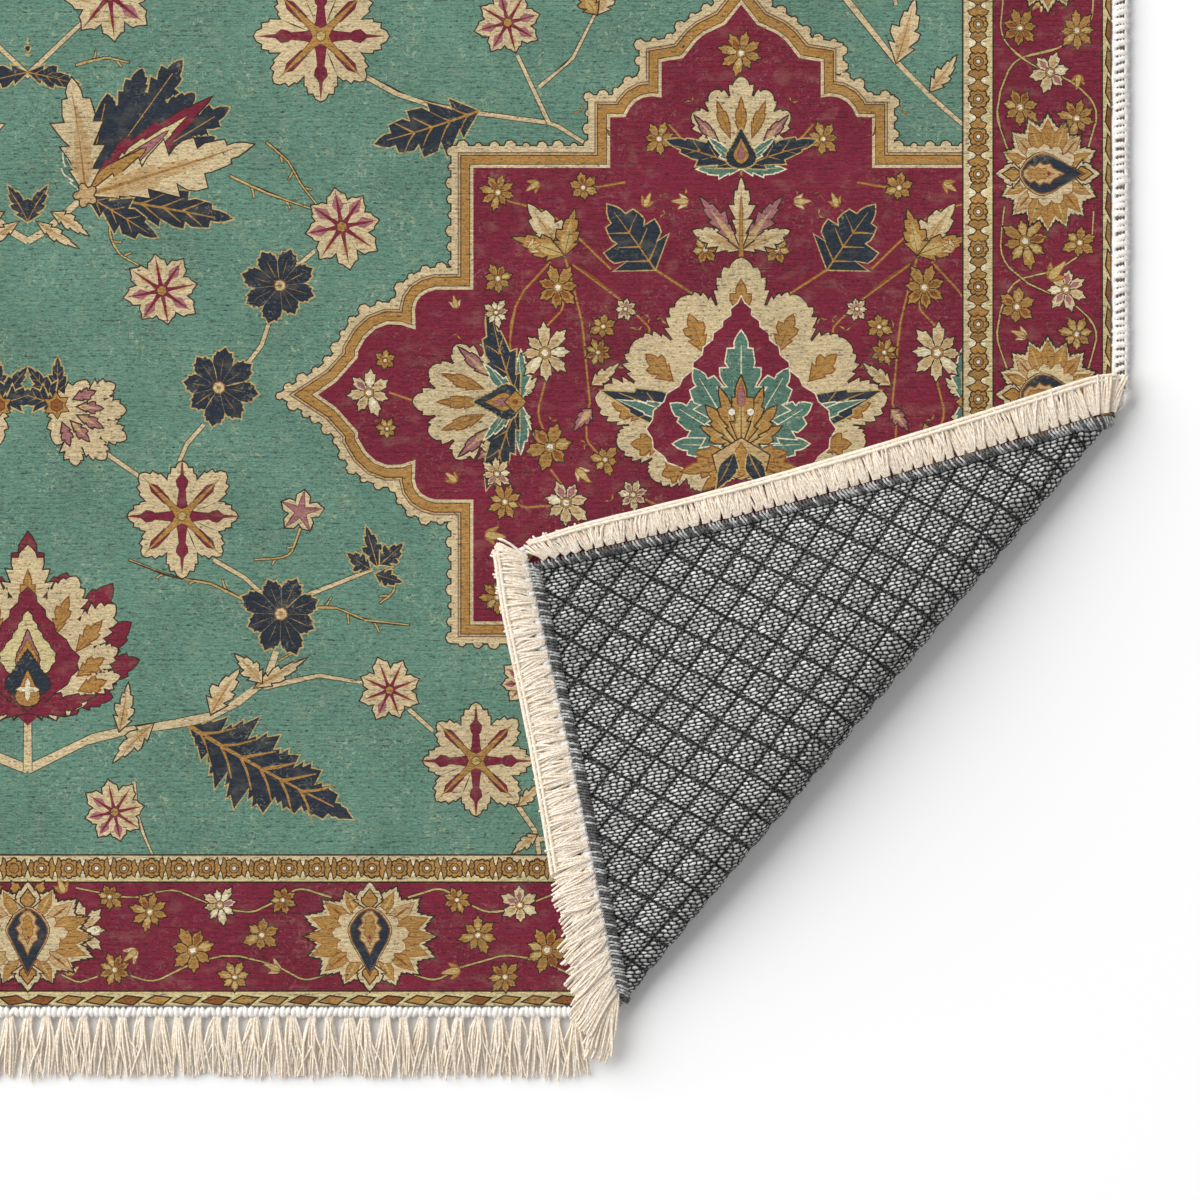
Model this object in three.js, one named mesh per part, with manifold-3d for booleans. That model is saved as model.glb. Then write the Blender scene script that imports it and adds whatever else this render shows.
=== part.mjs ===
// A fringed area rug that lies flat, with its near right corner turned over.
// Millimetres, +Z up, +X across the rug, +Y towards its far end.
// The origin is the middle of the rug's underside.

import * as THREE from 'three';
import { mergeVertices } from 'three/addons/utils/BufferGeometryUtils.js';
import Module from 'manifold-3d';

const wasm = await Module();
wasm.setup();

// The flat rug, over its side bindings and its header tapes, without the fringe.
const rugWidth = 914;
const rugLength = 1524;
const bindingWidth = 8;
const bindingChamfer = 1.2;
const headerWidth = 5;
const headerChamfer = 0.6;

// Thickness of the two cloths, and the gap that parts each piece from the next.
const backingThickness = 2.0;
const faceThickness = 2.0;
const partGap = 0.3;

// The outer line of the turned corner meets the right side and the near end
// at these distances from the rug's corner.
const foldUpSide = 256;
const foldAlongEnd = 215;

// The turned corner rolls over on this outer radius at its middle, and is pressed
// to a crease at both ends of the roll.
const rollRadius = 14;
const creaseRadius = 4.8;

// Past the roll the flap comes down onto the face over this length.
const settleLength = 95;

// The flap creeps along the fold by this share of its depth, and its right end is
// drawn this far up along the fold.
const flapSkew = 0.11;
const rightEndDraw = 7.5;

// Fringe locks: spacing, size at the root and at the tip, length beyond the header,
// how deep they are set in it, and how far their tips lean.
const lockPitch = 7.3;
const lockRootWidth = 5.6;
const lockTipWidth = 3.4;
const lockRootHeight = 2.8;
const lockTipHeight = 1.5;
const lockLength = 24;
const lockRootDepth = 3;
const lockLean = 2.2;

// Locks on the turned corner: their reach from the root, how thick they lie, how much
// longer and how far swung the lowest ones are, and how far the corner's own ones fan out.
// The side's own locks start at a share of the turned binding's width.
const flapLockReach = 13;
const flapLockStretch = 8;
const flapLockHeight = 1.7;
const flapLockSwing = THREE.MathUtils.degToRad(34);
const flapSwingDepth = 36;
const cornerFan = THREE.MathUtils.degToRad(34);
const sideLockReachStart = 14.4;
const sideLockReachEnd = 9.4;
const turnedBindingShare = 0.42;
const sideLockSeat = 0.65;
const lowestTurn = 0.45;

// How finely the cloth's grid follows the roll and the flap.
const clothColumns = 16;
const bendSteps = 8;
const flapDepths = [16, 34, 54, 76, 98, 118];

const stackThickness = backingThickness + partGap + faceThickness;
const clothEdgeX = rugWidth / 2 - bindingWidth - partGap;
const clothEdgeY = rugLength / 2 - headerWidth - partGap;

// The fold's own axes: its line starts at the rug's right side and runs to the near
// end, and "outward" points from the rug's middle to the turned corner.
const foldStart = new THREE.Vector2(rugWidth / 2, foldUpSide - rugLength / 2);
const foldEnd = new THREE.Vector2(rugWidth / 2 - foldAlongEnd, -rugLength / 2);
const foldLength = foldStart.distanceTo(foldEnd);
const foldAlong = foldEnd.clone().sub(foldStart).normalize();
const foldOutward = new THREE.Vector2(-foldAlong.y, foldAlong.x);

// Eases from 0 to 1 with level ends.
function ease(value) {
  return THREE.MathUtils.smoothstep(value, 0, 1);
}

// A repeatable unevenness between -1 and 1 for the n-th lock.
function uneven(n) {
  return Math.sin(n * 12.9898) * Math.cos(n * 4.1414 + 0.6);
}

// Place of a flat point along the fold and outward from its line.
function foldCoordinates(u, v) {
  const offset = new THREE.Vector2(u, v).sub(foldStart);
  return { along: offset.dot(foldAlong), outward: offset.dot(foldOutward) };
}

// The roll's outer radius, full at its middle and pressed at both ends.
function rollRadiusAt(along) {
  const share = THREE.MathUtils.clamp(along / foldLength, 0, 1);
  return creaseRadius + (rollRadius - creaseRadius) * Math.sin(Math.PI * share) ** 0.8;
}

// Radius of the layer in the stack's middle, which keeps its length in the bend.
function middleRadiusAt(along) {
  return rollRadiusAt(along) - stackThickness / 2;
}

// Takes a point of the flat rug, at a height in its stack, to its place on the folded one.
function fold(u, v, height) {
  const { along, outward } = foldCoordinates(u, v);
  const outerRadius = rollRadiusAt(along);
  const middleRadius = middleRadiusAt(along);
  const past = outward + outerRadius;
  if (past <= 0) {
    return new THREE.Vector3(u, v, height);
  }
  const angle = Math.min(past / middleRadius, Math.PI);
  const depth = Math.max(past - Math.PI * middleRadius, 0);
  const layerRadius = outerRadius - height;
  const across = layerRadius * Math.sin(angle) - outerRadius - depth;
  const drop = 2 * (outerRadius - creaseRadius) * ease(depth / settleLength);
  const draw = rightEndDraw * (1 - THREE.MathUtils.clamp(along / foldLength, 0, 1)) ** 2;
  const slide = flapSkew * depth - draw * ease(angle / Math.PI) * (1 - ease(depth / settleLength));
  const place = foldStart.clone()
    .addScaledVector(foldAlong, along + slide)
    .addScaledVector(foldOutward, across);
  return new THREE.Vector3(place.x, place.y, outerRadius - layerRadius * Math.cos(angle) - drop);
}

// The grid's cross lines: angles round the roll, then depths on the flap.
const crossLines = [];
for (let step = 0; step <= bendSteps; step += 1) {
  crossLines.push({ angle: Math.PI * step / bendSteps, depth: 0 });
}
for (const depth of flapDepths) {
  crossLines.push({ angle: Math.PI, depth });
}

// How far outward a cross line lies at a place along the fold.
function crossLineOutward(line, along) {
  return line.angle * middleRadiusAt(along) + line.depth - rollRadiusAt(along);
}

// Where a cross line meets a straight edge, found by halving the edge's stretch.
function meetEdge(line, from, to) {
  let near = 0;
  let far = 1;
  for (let step = 0; step < 40; step += 1) {
    const middle = (near + far) / 2;
    const point = from.clone().lerp(to, middle);
    const { along, outward } = foldCoordinates(point.x, point.y);
    if (outward < crossLineOutward(line, along)) {
      near = middle;
    } else {
      far = middle;
    }
  }
  return from.clone().lerp(to, near);
}

// Where a cross line meets a line along the right side or along the near end.
function meetSide(line, u) {
  return meetEdge(line, new THREE.Vector2(u, 0), new THREE.Vector2(u, -rugLength));
}

function meetEnd(line, v) {
  return meetEdge(line, new THREE.Vector2(0, v), new THREE.Vector2(rugWidth, v));
}

// A point on a path of straight stretches, at a share of its count of stretches.
function alongCorners(corners, share) {
  const place = share * (corners.length - 1);
  const index = Math.min(Math.floor(place), corners.length - 2);
  return corners[index].clone().lerp(corners[index + 1], place - index);
}

// The flat place of a crossing in the cloth's grid. Rows run from the far left corner
// to the turned one, and columns from the right side to the near end.
const clothRows = crossLines.length + 1;

function clothPlace(column, row) {
  const share = column / clothColumns;
  if (row === 0) {
    return alongCorners([
      new THREE.Vector2(clothEdgeX, clothEdgeY),
      new THREE.Vector2(-clothEdgeX, clothEdgeY),
      new THREE.Vector2(-clothEdgeX, -clothEdgeY),
    ], share);
  }
  const line = crossLines[Math.min(row, crossLines.length) - 1];
  const sidePoint = meetSide(line, clothEdgeX);
  const endPoint = meetEnd(line, -clothEdgeY);
  if (row > crossLines.length) {
    const corner = new THREE.Vector2(clothEdgeX, -clothEdgeY);
    const cut = 0.2;
    return alongCorners([
      sidePoint.clone().lerp(corner, cut),
      corner,
      endPoint.clone().lerp(corner, cut),
    ], share);
  }
  const start = foldCoordinates(sidePoint.x, sidePoint.y).along;
  const end = foldCoordinates(endPoint.x, endPoint.y).along;
  const along = THREE.MathUtils.lerp(start, end, share);
  return foldStart.clone()
    .addScaledVector(foldAlong, along)
    .addScaledVector(foldOutward, crossLineOutward(line, along));
}

// Moves every corner of a geometry by a function of its own place.
function reshape(geometry, moved) {
  const position = geometry.attributes.position;
  const point = new THREE.Vector3();
  for (let index = 0; index < position.count; index += 1) {
    point.fromBufferAttribute(position, index);
    const place = moved(point);
    position.setXYZ(index, place.x, place.y, place.z);
  }
  return geometry;
}

// Joins the doubled corners, so that the surface is one closed body.
function closed(geometry) {
  geometry.deleteAttribute('normal');
  geometry.deleteAttribute('uv');
  return mergeVertices(geometry, 0.001);
}

// Turns the diagonals of the box's underside, so that both sides bend along the same lines.
function matchUnderside(box) {
  const underside = box.groups[5];
  for (let at = underside.start; at < underside.start + underside.count; at += 6) {
    const [first, second, fourth, , third] = box.index.array.slice(at, at + 6);
    box.index.array.set([first, second, third, first, third, fourth], at);
  }
  return box;
}

// One cloth of the rug, between two heights of the stack.
function clothGeometry(low, high) {
  const flat = matchUnderside(new THREE.BoxGeometry(1, 1, 1, clothColumns, clothRows, 1));
  return closed(reshape(flat, (point) => {
    const column = Math.round((point.x + 0.5) * clothColumns);
    const row = Math.round((point.y + 0.5) * clothRows);
    const place = clothPlace(column, row);
    return fold(place.x, place.y, point.z > 0 ? high : low);
  }));
}

// The section of a binding or header: x runs outward from the cloth's edge, which it
// clears by the gap, and its outer corners are cut off by a chamfer.
function edgeSection(width, chamfer) {
  return new THREE.Shape([
    new THREE.Vector2(0, 0),
    new THREE.Vector2(width - chamfer, 0),
    new THREE.Vector2(width, chamfer),
    new THREE.Vector2(width, stackThickness - chamfer),
    new THREE.Vector2(width - chamfer, stackThickness),
    new THREE.Vector2(0, stackThickness),
  ]);
}

// An edge strip: the section carried along a number of stations.
function stripGeometry(width, chamfer, stations, placed) {
  const strip = new THREE.ExtrudeGeometry(edgeSection(width, chamfer), {
    depth: 1,
    steps: stations - 1,
    bevelEnabled: false,
  });
  return closed(reshape(strip, (point) => {
    const station = Math.round(point.z * (stations - 1));
    return placed(point.x, point.y, station);
  }));
}

// A lock of fringe: a four-sided body along a path, flat underneath, that narrows.
function lockGeometry(path, sideways, rootWidth, tipWidth, rootHeight, tipHeight) {
  const segments = path.length - 1;
  const lock = new THREE.BoxGeometry(1, 1, 1, 1, segments, 1);
  return closed(reshape(lock, (point) => {
    const step = Math.round((point.y + 0.5) * segments);
    const share = step / segments;
    const before = path[Math.max(step - 1, 0)];
    const after = path[Math.min(step + 1, segments)];
    const lengthwise = after.clone().sub(before).normalize();
    const upward = new THREE.Vector3().crossVectors(sideways, lengthwise);
    const width = THREE.MathUtils.lerp(rootWidth, tipWidth, share);
    const height = THREE.MathUtils.lerp(rootHeight, tipHeight, share);
    return path[step].clone()
      .addScaledVector(sideways, point.x * width)
      .addScaledVector(upward, point.z > 0 ? height : 0);
  }));
}

// Turns a closed geometry into a solid that can be joined, and back again.
function solidOf(geometry) {
  return new wasm.Manifold(new wasm.Mesh({
    numProp: 3,
    vertProperties: new Float32Array(geometry.attributes.position.array),
    triVerts: new Uint32Array(geometry.index.array),
  }));
}

function geometryOf(solid) {
  const mesh = solid.getMesh();
  const geometry = new THREE.BufferGeometry();
  geometry.setAttribute('position', new THREE.BufferAttribute(mesh.vertProperties, 3));
  geometry.setIndex(new THREE.BufferAttribute(mesh.triVerts, 1));
  return geometry;
}

function joined(geometries) {
  return geometryOf(geometries.map(solidOf).reduce((whole, piece) => whole.add(piece)));
}

// A lock that lies level on the floor, from its root inside the header to its tip.
function floorLock(root, outward, number) {
  const sideways = new THREE.Vector3(outward.y, -outward.x, 0);
  const lean = lockLean * uneven(number);
  const length = lockRootDepth + lockLength * (1 + 0.04 * uneven(number + 0.5));
  const middle = root.clone().addScaledVector(outward, length * 0.5).addScaledVector(sideways, lean * 0.3);
  const tip = root.clone().addScaledVector(outward, length).addScaledVector(sideways, lean);
  return lockGeometry([root, middle, tip], sideways,
    lockRootWidth, lockTipWidth, lockRootHeight, lockTipHeight);
}

// A lock on the turned corner. It leaves the strip level, and its end rolls down
// towards the face without touching it.
function flapLock(root, heading, reach) {
  const outward = new THREE.Vector3(Math.cos(heading), Math.sin(heading), 0);
  const sideways = new THREE.Vector3(outward.y, -outward.x, 0);
  const rest = stackThickness + 2 * partGap;
  const level = Math.max(root.z - flapLockHeight / 2, rest);
  const place = (distance, height) => root.clone()
    .addScaledVector(outward, distance)
    .setZ(height);
  const path = [
    place(0, level),
    place(reach * 0.55, level),
    place(reach * 0.85, THREE.MathUtils.lerp(rest, level, 0.7)),
    place(reach, rest),
  ];
  return lockGeometry(path, sideways,
    lockRootWidth, lockTipWidth * 1.2, flapLockHeight, flapLockHeight * 0.7);
}

// The direction in which the folded cloth leaves its edge, seen from above.
function edgeHeading(u, v, du, dv) {
  const inner = fold(u, v, stackThickness / 2);
  const outer = fold(u + du, v + dv, stackThickness / 2);
  return Math.atan2(outer.y - inner.y, outer.x - inner.x);
}

// Whether a place of the flat rug is past the start of the roll.
function isTurned(u, v) {
  const { along, outward } = foldCoordinates(u, v);
  return outward + rollRadiusAt(along) > 0;
}

// How far round the roll a place lies, from 0 before it to 1 on the flap.
function turnedShare(u, v) {
  const { along, outward } = foldCoordinates(u, v);
  const angle = (outward + rollRadiusAt(along)) / middleRadiusAt(along);
  return THREE.MathUtils.clamp(angle / Math.PI, 0, 1);
}

// How deep on the flap a place lies, past the roll.
function flapDepth(u, v) {
  const { along, outward } = foldCoordinates(u, v);
  return Math.max(outward + rollRadiusAt(along) - Math.PI * middleRadiusAt(along), 0);
}

// The left binding is a straight strip.
function leftBindingGeometry() {
  return stripGeometry(bindingWidth, bindingChamfer, 2, (x, y, station) => new THREE.Vector3(
    -clothEdgeX - partGap - x,
    station === 0 ? -clothEdgeY : clothEdgeY,
    y,
  ));
}

// The right binding follows the fold. Its turned part is narrower, and its loose
// yarns stand out from it in locks.
function rightBindingGeometry() {
  const stations = crossLines.length + 2;
  const innerEdge = clothEdgeX + partGap;
  const strip = stripGeometry(bindingWidth, bindingChamfer, stations, (x, y, station) => {
    const line = crossLines[THREE.MathUtils.clamp(station - 1, 0, crossLines.length - 1)];
    const share = ease(line.angle / Math.PI) * (1 - turnedBindingShare);
    const u = innerEdge + x * (station === 0 ? 1 : 1 - share);
    if (station === 0) {
      return fold(u, clothEdgeY, y);
    }
    if (station === stations - 1) {
      return fold(u, -clothEdgeY, y);
    }
    const place = meetSide(line, u);
    return fold(place.x, place.y, y);
  });
  const pieces = [strip];
  const rootX = innerEdge + bindingWidth * turnedBindingShare * sideLockSeat;
  const firstLock = -rugLength / 2 + foldUpSide - lockPitch;
  const count = Math.floor((firstLock + clothEdgeY) / lockPitch);
  for (let number = 0; number < count; number += 1) {
    const v = firstLock - number * lockPitch;
    if (turnedShare(rootX, v) < 0.9) {
      continue;
    }
    const share = number / (count - 1);
    const fan = cornerFan * ease((share - 0.88) / 0.12);
    const heading = edgeHeading(rootX, v, 4, 0) + fan;
    const reach = THREE.MathUtils.lerp(sideLockReachStart, sideLockReachEnd, share);
    pieces.push(flapLock(fold(rootX, v, stackThickness / 2), heading, reach));
  }
  return joined(pieces);
}

// The far header and its fringe lie flat on the floor.
function farFringeGeometry() {
  const innerEdge = clothEdgeY + partGap;
  const strip = stripGeometry(headerWidth, headerChamfer, 2, (x, y, station) => new THREE.Vector3(
    station === 0 ? -rugWidth / 2 : rugWidth / 2,
    innerEdge + x,
    y,
  ));
  const outward = new THREE.Vector3(0, 1, 0);
  const pieces = [strip];
  const count = Math.floor(rugWidth / lockPitch);
  for (let number = 0; number < count; number += 1) {
    const u = (number - (count - 1) / 2) * lockPitch;
    const root = new THREE.Vector3(u, rugLength / 2 - lockRootDepth, 0);
    pieces.push(floorLock(root, outward, number));
  }
  return joined(pieces);
}

// The near header follows the fold, with locks on the floor and on the flap.
function nearFringeGeometry() {
  const stations = crossLines.length + 2;
  const innerEdge = -clothEdgeY - partGap;
  const strip = stripGeometry(headerWidth, headerChamfer, stations, (x, y, station) => {
    const v = innerEdge - x;
    if (station === 0) {
      return fold(rugWidth / 2, v, y);
    }
    if (station === stations - 1) {
      return fold(-rugWidth / 2, v, y);
    }
    const place = meetEnd(crossLines[crossLines.length - station], v);
    return fold(place.x, place.y, y);
  });
  const outward = new THREE.Vector3(0, -1, 0);
  const pieces = [strip];
  const count = Math.floor(rugWidth / lockPitch);
  const rootY = -rugLength / 2 + lockRootDepth;
  for (let number = 0; number < count; number += 1) {
    const u = (number - (count - 1) / 2) * lockPitch;
    if (!isTurned(u + lockPitch, rootY)) {
      pieces.push(floorLock(new THREE.Vector3(u, rootY, 0), outward, number + 0.25));
    } else if (turnedShare(u, rootY) > lowestTurn) {
      const fan = cornerFan * ease((u - rugWidth / 2 + 45) / 45);
      const lowness = Math.exp(-flapDepth(u, rootY) / flapSwingDepth);
      const heading = edgeHeading(u, rootY, 0, -4) + flapLockSwing * lowness - fan;
      const reach = flapLockReach + flapLockStretch * lowness;
      pieces.push(flapLock(fold(u, rootY, stackThickness / 2), heading, reach));
    }
  }
  return joined(pieces);
}

const teal = { color: 0x62826f, roughness: 0.95, metalness: 0 };
const grey = { color: 0x6f6f6f, roughness: 0.9, metalness: 0 };
const cream = { color: 0xdcd2c3, roughness: 0.95, metalness: 0 };

const group = new THREE.Group();

function addPiece(name, geometry, finish) {
  const mesh = new THREE.Mesh(geometry, new THREE.MeshStandardMaterial(finish));
  mesh.name = name;
  group.add(mesh);
}

addPiece('face_cloth', clothGeometry(backingThickness + partGap, stackThickness), teal);
addPiece('backing_cloth', clothGeometry(0, backingThickness), grey);
addPiece('side_binding_left', leftBindingGeometry(), cream);
addPiece('side_binding_right', rightBindingGeometry(), cream);
addPiece('end_fringe_far', farFringeGeometry(), cream);
addPiece('end_fringe_near', nearFringeGeometry(), cream);

export default group;
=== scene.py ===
# %% [markdown]
# # A washable area rug with one corner turned over
# The rug is a printed face cloth on a quilted backing, with whipped side edges and a
# fringe at both ends. Its near right corner is folded up and over, so that the grey
# backing shows. This lesson dresses the plain solids of that rug: the print is cut
# into the face cloth, the backing is quilted, and every yarn of the edges is laid.

import cmath
import math
import random
from collections import namedtuple

import bmesh
import bpy
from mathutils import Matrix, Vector
from mathutils.geometry import delaunay_2d_cdt, intersect_line_line_2d


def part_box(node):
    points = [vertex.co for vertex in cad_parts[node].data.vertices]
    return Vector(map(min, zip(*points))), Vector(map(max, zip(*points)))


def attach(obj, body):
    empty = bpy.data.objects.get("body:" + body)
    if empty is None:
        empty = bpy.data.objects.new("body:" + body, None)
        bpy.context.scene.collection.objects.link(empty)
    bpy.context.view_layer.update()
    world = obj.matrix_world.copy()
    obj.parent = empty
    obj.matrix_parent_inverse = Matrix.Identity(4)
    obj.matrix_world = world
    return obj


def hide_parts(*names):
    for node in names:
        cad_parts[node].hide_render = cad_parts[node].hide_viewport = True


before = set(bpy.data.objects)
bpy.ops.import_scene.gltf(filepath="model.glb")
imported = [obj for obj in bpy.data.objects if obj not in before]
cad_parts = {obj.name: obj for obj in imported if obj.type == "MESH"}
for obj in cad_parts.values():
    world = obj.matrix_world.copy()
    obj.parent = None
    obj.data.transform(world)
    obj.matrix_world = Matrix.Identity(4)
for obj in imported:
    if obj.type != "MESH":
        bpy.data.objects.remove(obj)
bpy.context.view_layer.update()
print("pieces to dress:", sorted(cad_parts))

# %% [markdown]
# ## The rug's own sizes
# Cloth is drawn in millimetres and turned to metres as each mesh is made. The cloth's
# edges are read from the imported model. What the model's boxes can't tell, such as the
# two thicknesses and the line of the fold, is named here once.

# %% Sizes in millimetres
MM = 0.001
CLOTH_X = -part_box("face_cloth")[0][0] / MM
CLOTH_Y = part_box("face_cloth")[1][1] / MM
BINDING_WIDTH = 8.0
HEADER_WIDTH = 5.0
PART_GAP = 0.3
RUG_X = CLOTH_X + PART_GAP + BINDING_WIDTH
RUG_Y = CLOTH_Y + PART_GAP + HEADER_WIDTH
BACKING_TOP = 2.0
FACE_UNDER = 2.3
FACE_TOP = 4.3
print(f"cloth {2 * CLOTH_X:.1f} by {2 * CLOTH_Y:.1f} mm, rug {2 * RUG_X:.1f} by {2 * RUG_Y:.1f} mm")

# %% [markdown]
# ## The camera comes first
# The photograph looks straight down on the turned corner, and shows half a metre of
# floor from side to side. A camera far away with a long lens keeps upright edges from
# leaning, as in the photograph.

# %% The camera
VIEW_WIDTH = 0.4976
VIEW_CENTRE = Vector((0.2372, -0.5887, 0.0))
CAMERA_HEIGHT = 8.0
SENSOR_WIDTH = 36.0

camera_data = bpy.data.cameras.new("camera")
camera_data.sensor_width = SENSOR_WIDTH
camera_data.lens = SENSOR_WIDTH * CAMERA_HEIGHT / VIEW_WIDTH
camera_data.clip_end = 100.0
camera = bpy.data.objects.new("camera", camera_data)
camera.location = VIEW_CENTRE + Vector((0.0, 0.0, CAMERA_HEIGHT))
bpy.context.collection.objects.link(camera)
bpy.context.scene.camera = camera
print(f"lens {camera_data.lens:.0f} mm at {CAMERA_HEIGHT:.0f} m")

# %% [markdown]
# ## Floor and light
# A large soft lamp stands to the upper left, low enough to give the fold its shadow
# on the right. The white surroundings fill that shadow softly. The floor is plain.

# %% Floor, lamp and surroundings
FLOOR_SIZE = 30.0
LAMP_PLACE = Vector((-4.2, 2.9, 3.6))
LAMP_SIZE = 8.0
LAMP_POWER = 735.0
SKY_STRENGTH = 0.413

floor_mesh = bpy.data.meshes.new("floor")
floor_shape = bmesh.new()
bmesh.ops.create_grid(floor_shape, x_segments=1, y_segments=1, size=FLOOR_SIZE / 2)
floor_shape.to_mesh(floor_mesh)
floor_shape.free()
floor = bpy.data.objects.new("floor", floor_mesh)
bpy.context.collection.objects.link(floor)

lamp_data = bpy.data.lights.new("soft_lamp", "AREA")
lamp_data.size = LAMP_SIZE
lamp_data.energy = LAMP_POWER
lamp = bpy.data.objects.new("soft_lamp", lamp_data)
lamp.location = VIEW_CENTRE + LAMP_PLACE
lamp.rotation_euler = (-LAMP_PLACE).to_track_quat("-Z", "Y").to_euler()
lamp.visible_camera = False
bpy.context.collection.objects.link(lamp)

world = bpy.data.worlds.new("surroundings")
world.use_nodes = True
world.node_tree.nodes["Background"].inputs["Strength"].default_value = SKY_STRENGTH
world.node_tree.nodes["Background"].inputs["Color"].default_value = (1.0, 1.0, 1.0, 1.0)
bpy.context.scene.world = world
bpy.context.scene.view_settings.view_transform = "Standard"

# %% [markdown]
# ## Sums on shader sockets
# A finish is a small sum over the surface, such as one noise times another. Writing
# each Math node by hand hides the sum, so one small class wraps a socket and lets
# Python's own signs add the nodes. Every other kind of node comes from one method.

# %% A socket that can be added and multiplied
class Tap:
    def __init__(self, finish, socket):
        self.finish = finish
        self.socket = socket

    def __add__(self, other):
        return self.finish.maths("ADD", self, other)

    def __sub__(self, other):
        return self.finish.maths("SUBTRACT", self, other)

    def __mul__(self, other):
        return self.finish.maths("MULTIPLY", self, other)

    def __truediv__(self, other):
        return self.finish.maths("DIVIDE", self, other)


class Finish:
    """A material and the nodes that feed its shader."""

    def __init__(self, name, roughness, sheen=0.0):
        self.material = bpy.data.materials.new(name)
        self.material.use_nodes = True
        self.tree = self.material.node_tree
        self.shader = self.tree.nodes["Principled BSDF"]
        self.shader.inputs["Roughness"].default_value = roughness
        self.shader.inputs["Sheen Weight"].default_value = sheen
        self.shader.inputs["Specular IOR Level"].default_value = 0.2

    def node(self, kind, settings=None, values=None, output=0):
        made = self.tree.nodes.new(kind)
        for name, value in (settings or {}).items():
            setattr(made, name, value)
        for name, value in (values or {}).items():
            self.feed(made.inputs[name], value)
        return Tap(self, made.outputs[output])

    def feed(self, socket, value):
        if isinstance(value, Tap):
            self.tree.links.new(value.socket, socket)
        else:
            socket.default_value = value

    def maths(self, operation, *values):
        return self.node("ShaderNodeMath", {"operation": operation}, dict(enumerate(values)))

    def between(self, value, low, high):
        """From 0 at low to 1 at high, with soft ends."""
        return self.node("ShaderNodeMapRange", {"interpolation_type": "SMOOTHSTEP"},
                         {"Value": value, "From Min": low, "From Max": high})

    def split(self, vector):
            return [self.node("ShaderNodeSeparateXYZ", {}, {"Vector": vector}, k) for k in range(2)]

    def point(self, x, y, z=0.0):
        return self.node("ShaderNodeCombineXYZ", {}, {"X": x, "Y": y, "Z": z})

    def cloud(self, place, scale, detail):
        return self.node("ShaderNodeTexNoise", {}, {"Vector": place, "Scale": scale, "Detail": detail})

    def clouds(self, u, v, table):
        """Every noise of a table by name, each stretched and shifted as its row says."""
        made = {}
        for name, row in table.items():
            x, y = u * row.across, v * row.up
            if row.shift_u:
                x = x + row.shift_u
            if row.shift_v:
                y = y + row.shift_v
            made[name] = self.cloud(self.point(x, y), 1.0, row.detail)
        return made

    def blend(self, share, first, second, kind="MIX"):
        """A mix of two colours; the colour sockets of the Mix node are its sixth and seventh."""
        return self.node("ShaderNodeMix", {"data_type": "RGBA", "blend_type": kind},
                         {0: share, 6: first, 7: second}, 2)

    def paint(self, **sockets):
        for name, value in sockets.items():
            self.feed(self.shader.inputs[name.replace("_", " ")], value)

    def relief(self, height, depth):
        """A bump of this depth in metres where the height runs from 0 to 1."""
        bump = self.node("ShaderNodeBump", {}, {"Strength": 1.0, "Distance": depth, "Height": height})
        self.paint(Normal=bump)


def tint(code):
    """A hexadecimal colour as the linear one that a shader wants."""
    shares = [int(code[k:k + 2], 16) / 255 for k in (0, 2, 4)]
    return tuple(s / 12.92 if s <= 0.04045 else ((s + 0.055) / 1.055) ** 2.4 for s in shares) + (1.0,)

# %% [markdown]
# ## The floor's finish
# The floor in the photograph is even and nearly white, so its finish is one pale grey
# without a pattern. It is matt, because a shine would double the lamp.

# %% The floor's finish
FLOOR_TONE = (0.93, 0.93, 0.93, 1.0)
floor_finish = Finish("plain_floor", roughness=0.9)
floor_finish.paint(Base_Color=FLOOR_TONE)
floor_mesh.materials.append(floor_finish.material)

# %% [markdown]
# ## Where the fold takes each point
# Every piece is made flat and folded last. The fold's line runs from the right side to
# the near end. Cloth before the roll stays down, cloth in the roll goes round it, and
# cloth past it lies upside down on the face. The roll is full at its middle and
# pressed to a crease at both ends. Places are complex numbers, because a turn of the
# plane is then one product.

# %% The fold
FOLD_START = complex(RUG_X, 256.0 - RUG_Y)
FOLD_END = complex(RUG_X - 215.0, -RUG_Y)
ROLL_RADIUS = 14.0
CREASE_RADIUS = 4.8
SETTLE_LENGTH = 95.0
FLAP_SKEW = 0.11
RIGHT_END_DRAW = 7.5
FOLD_LENGTH = abs(FOLD_END - FOLD_START)
FOLD_ALONG = (FOLD_END - FOLD_START) / FOLD_LENGTH
FOLD_OUTWARD = FOLD_ALONG * 1j


def ease(value):
    value = min(max(value, 0.0), 1.0)
    return value * value * (3.0 - 2.0 * value)


def fold_axes(u, v):
    """How far along the fold's line a flat point lies, and how far outward from it."""
    place = (complex(u, v) - FOLD_START) * FOLD_ALONG.conjugate()
    return place.real, place.imag


def roll_radius(along):
    share = min(max(along / FOLD_LENGTH, 0.0), 1.0)
    return CREASE_RADIUS + (ROLL_RADIUS - CREASE_RADIUS) * math.sin(math.pi * share) ** 0.8


def roll_turn(u, v):
    """The angle round the roll at a flat point, and its depth on the flap past it."""
    along, outward = fold_axes(u, v)
    outer = roll_radius(along)
    middle = outer - FACE_TOP / 2
    past = outward + outer
    return min(max(past / middle, 0.0), math.pi), max(past - math.pi * middle, 0.0)


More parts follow.
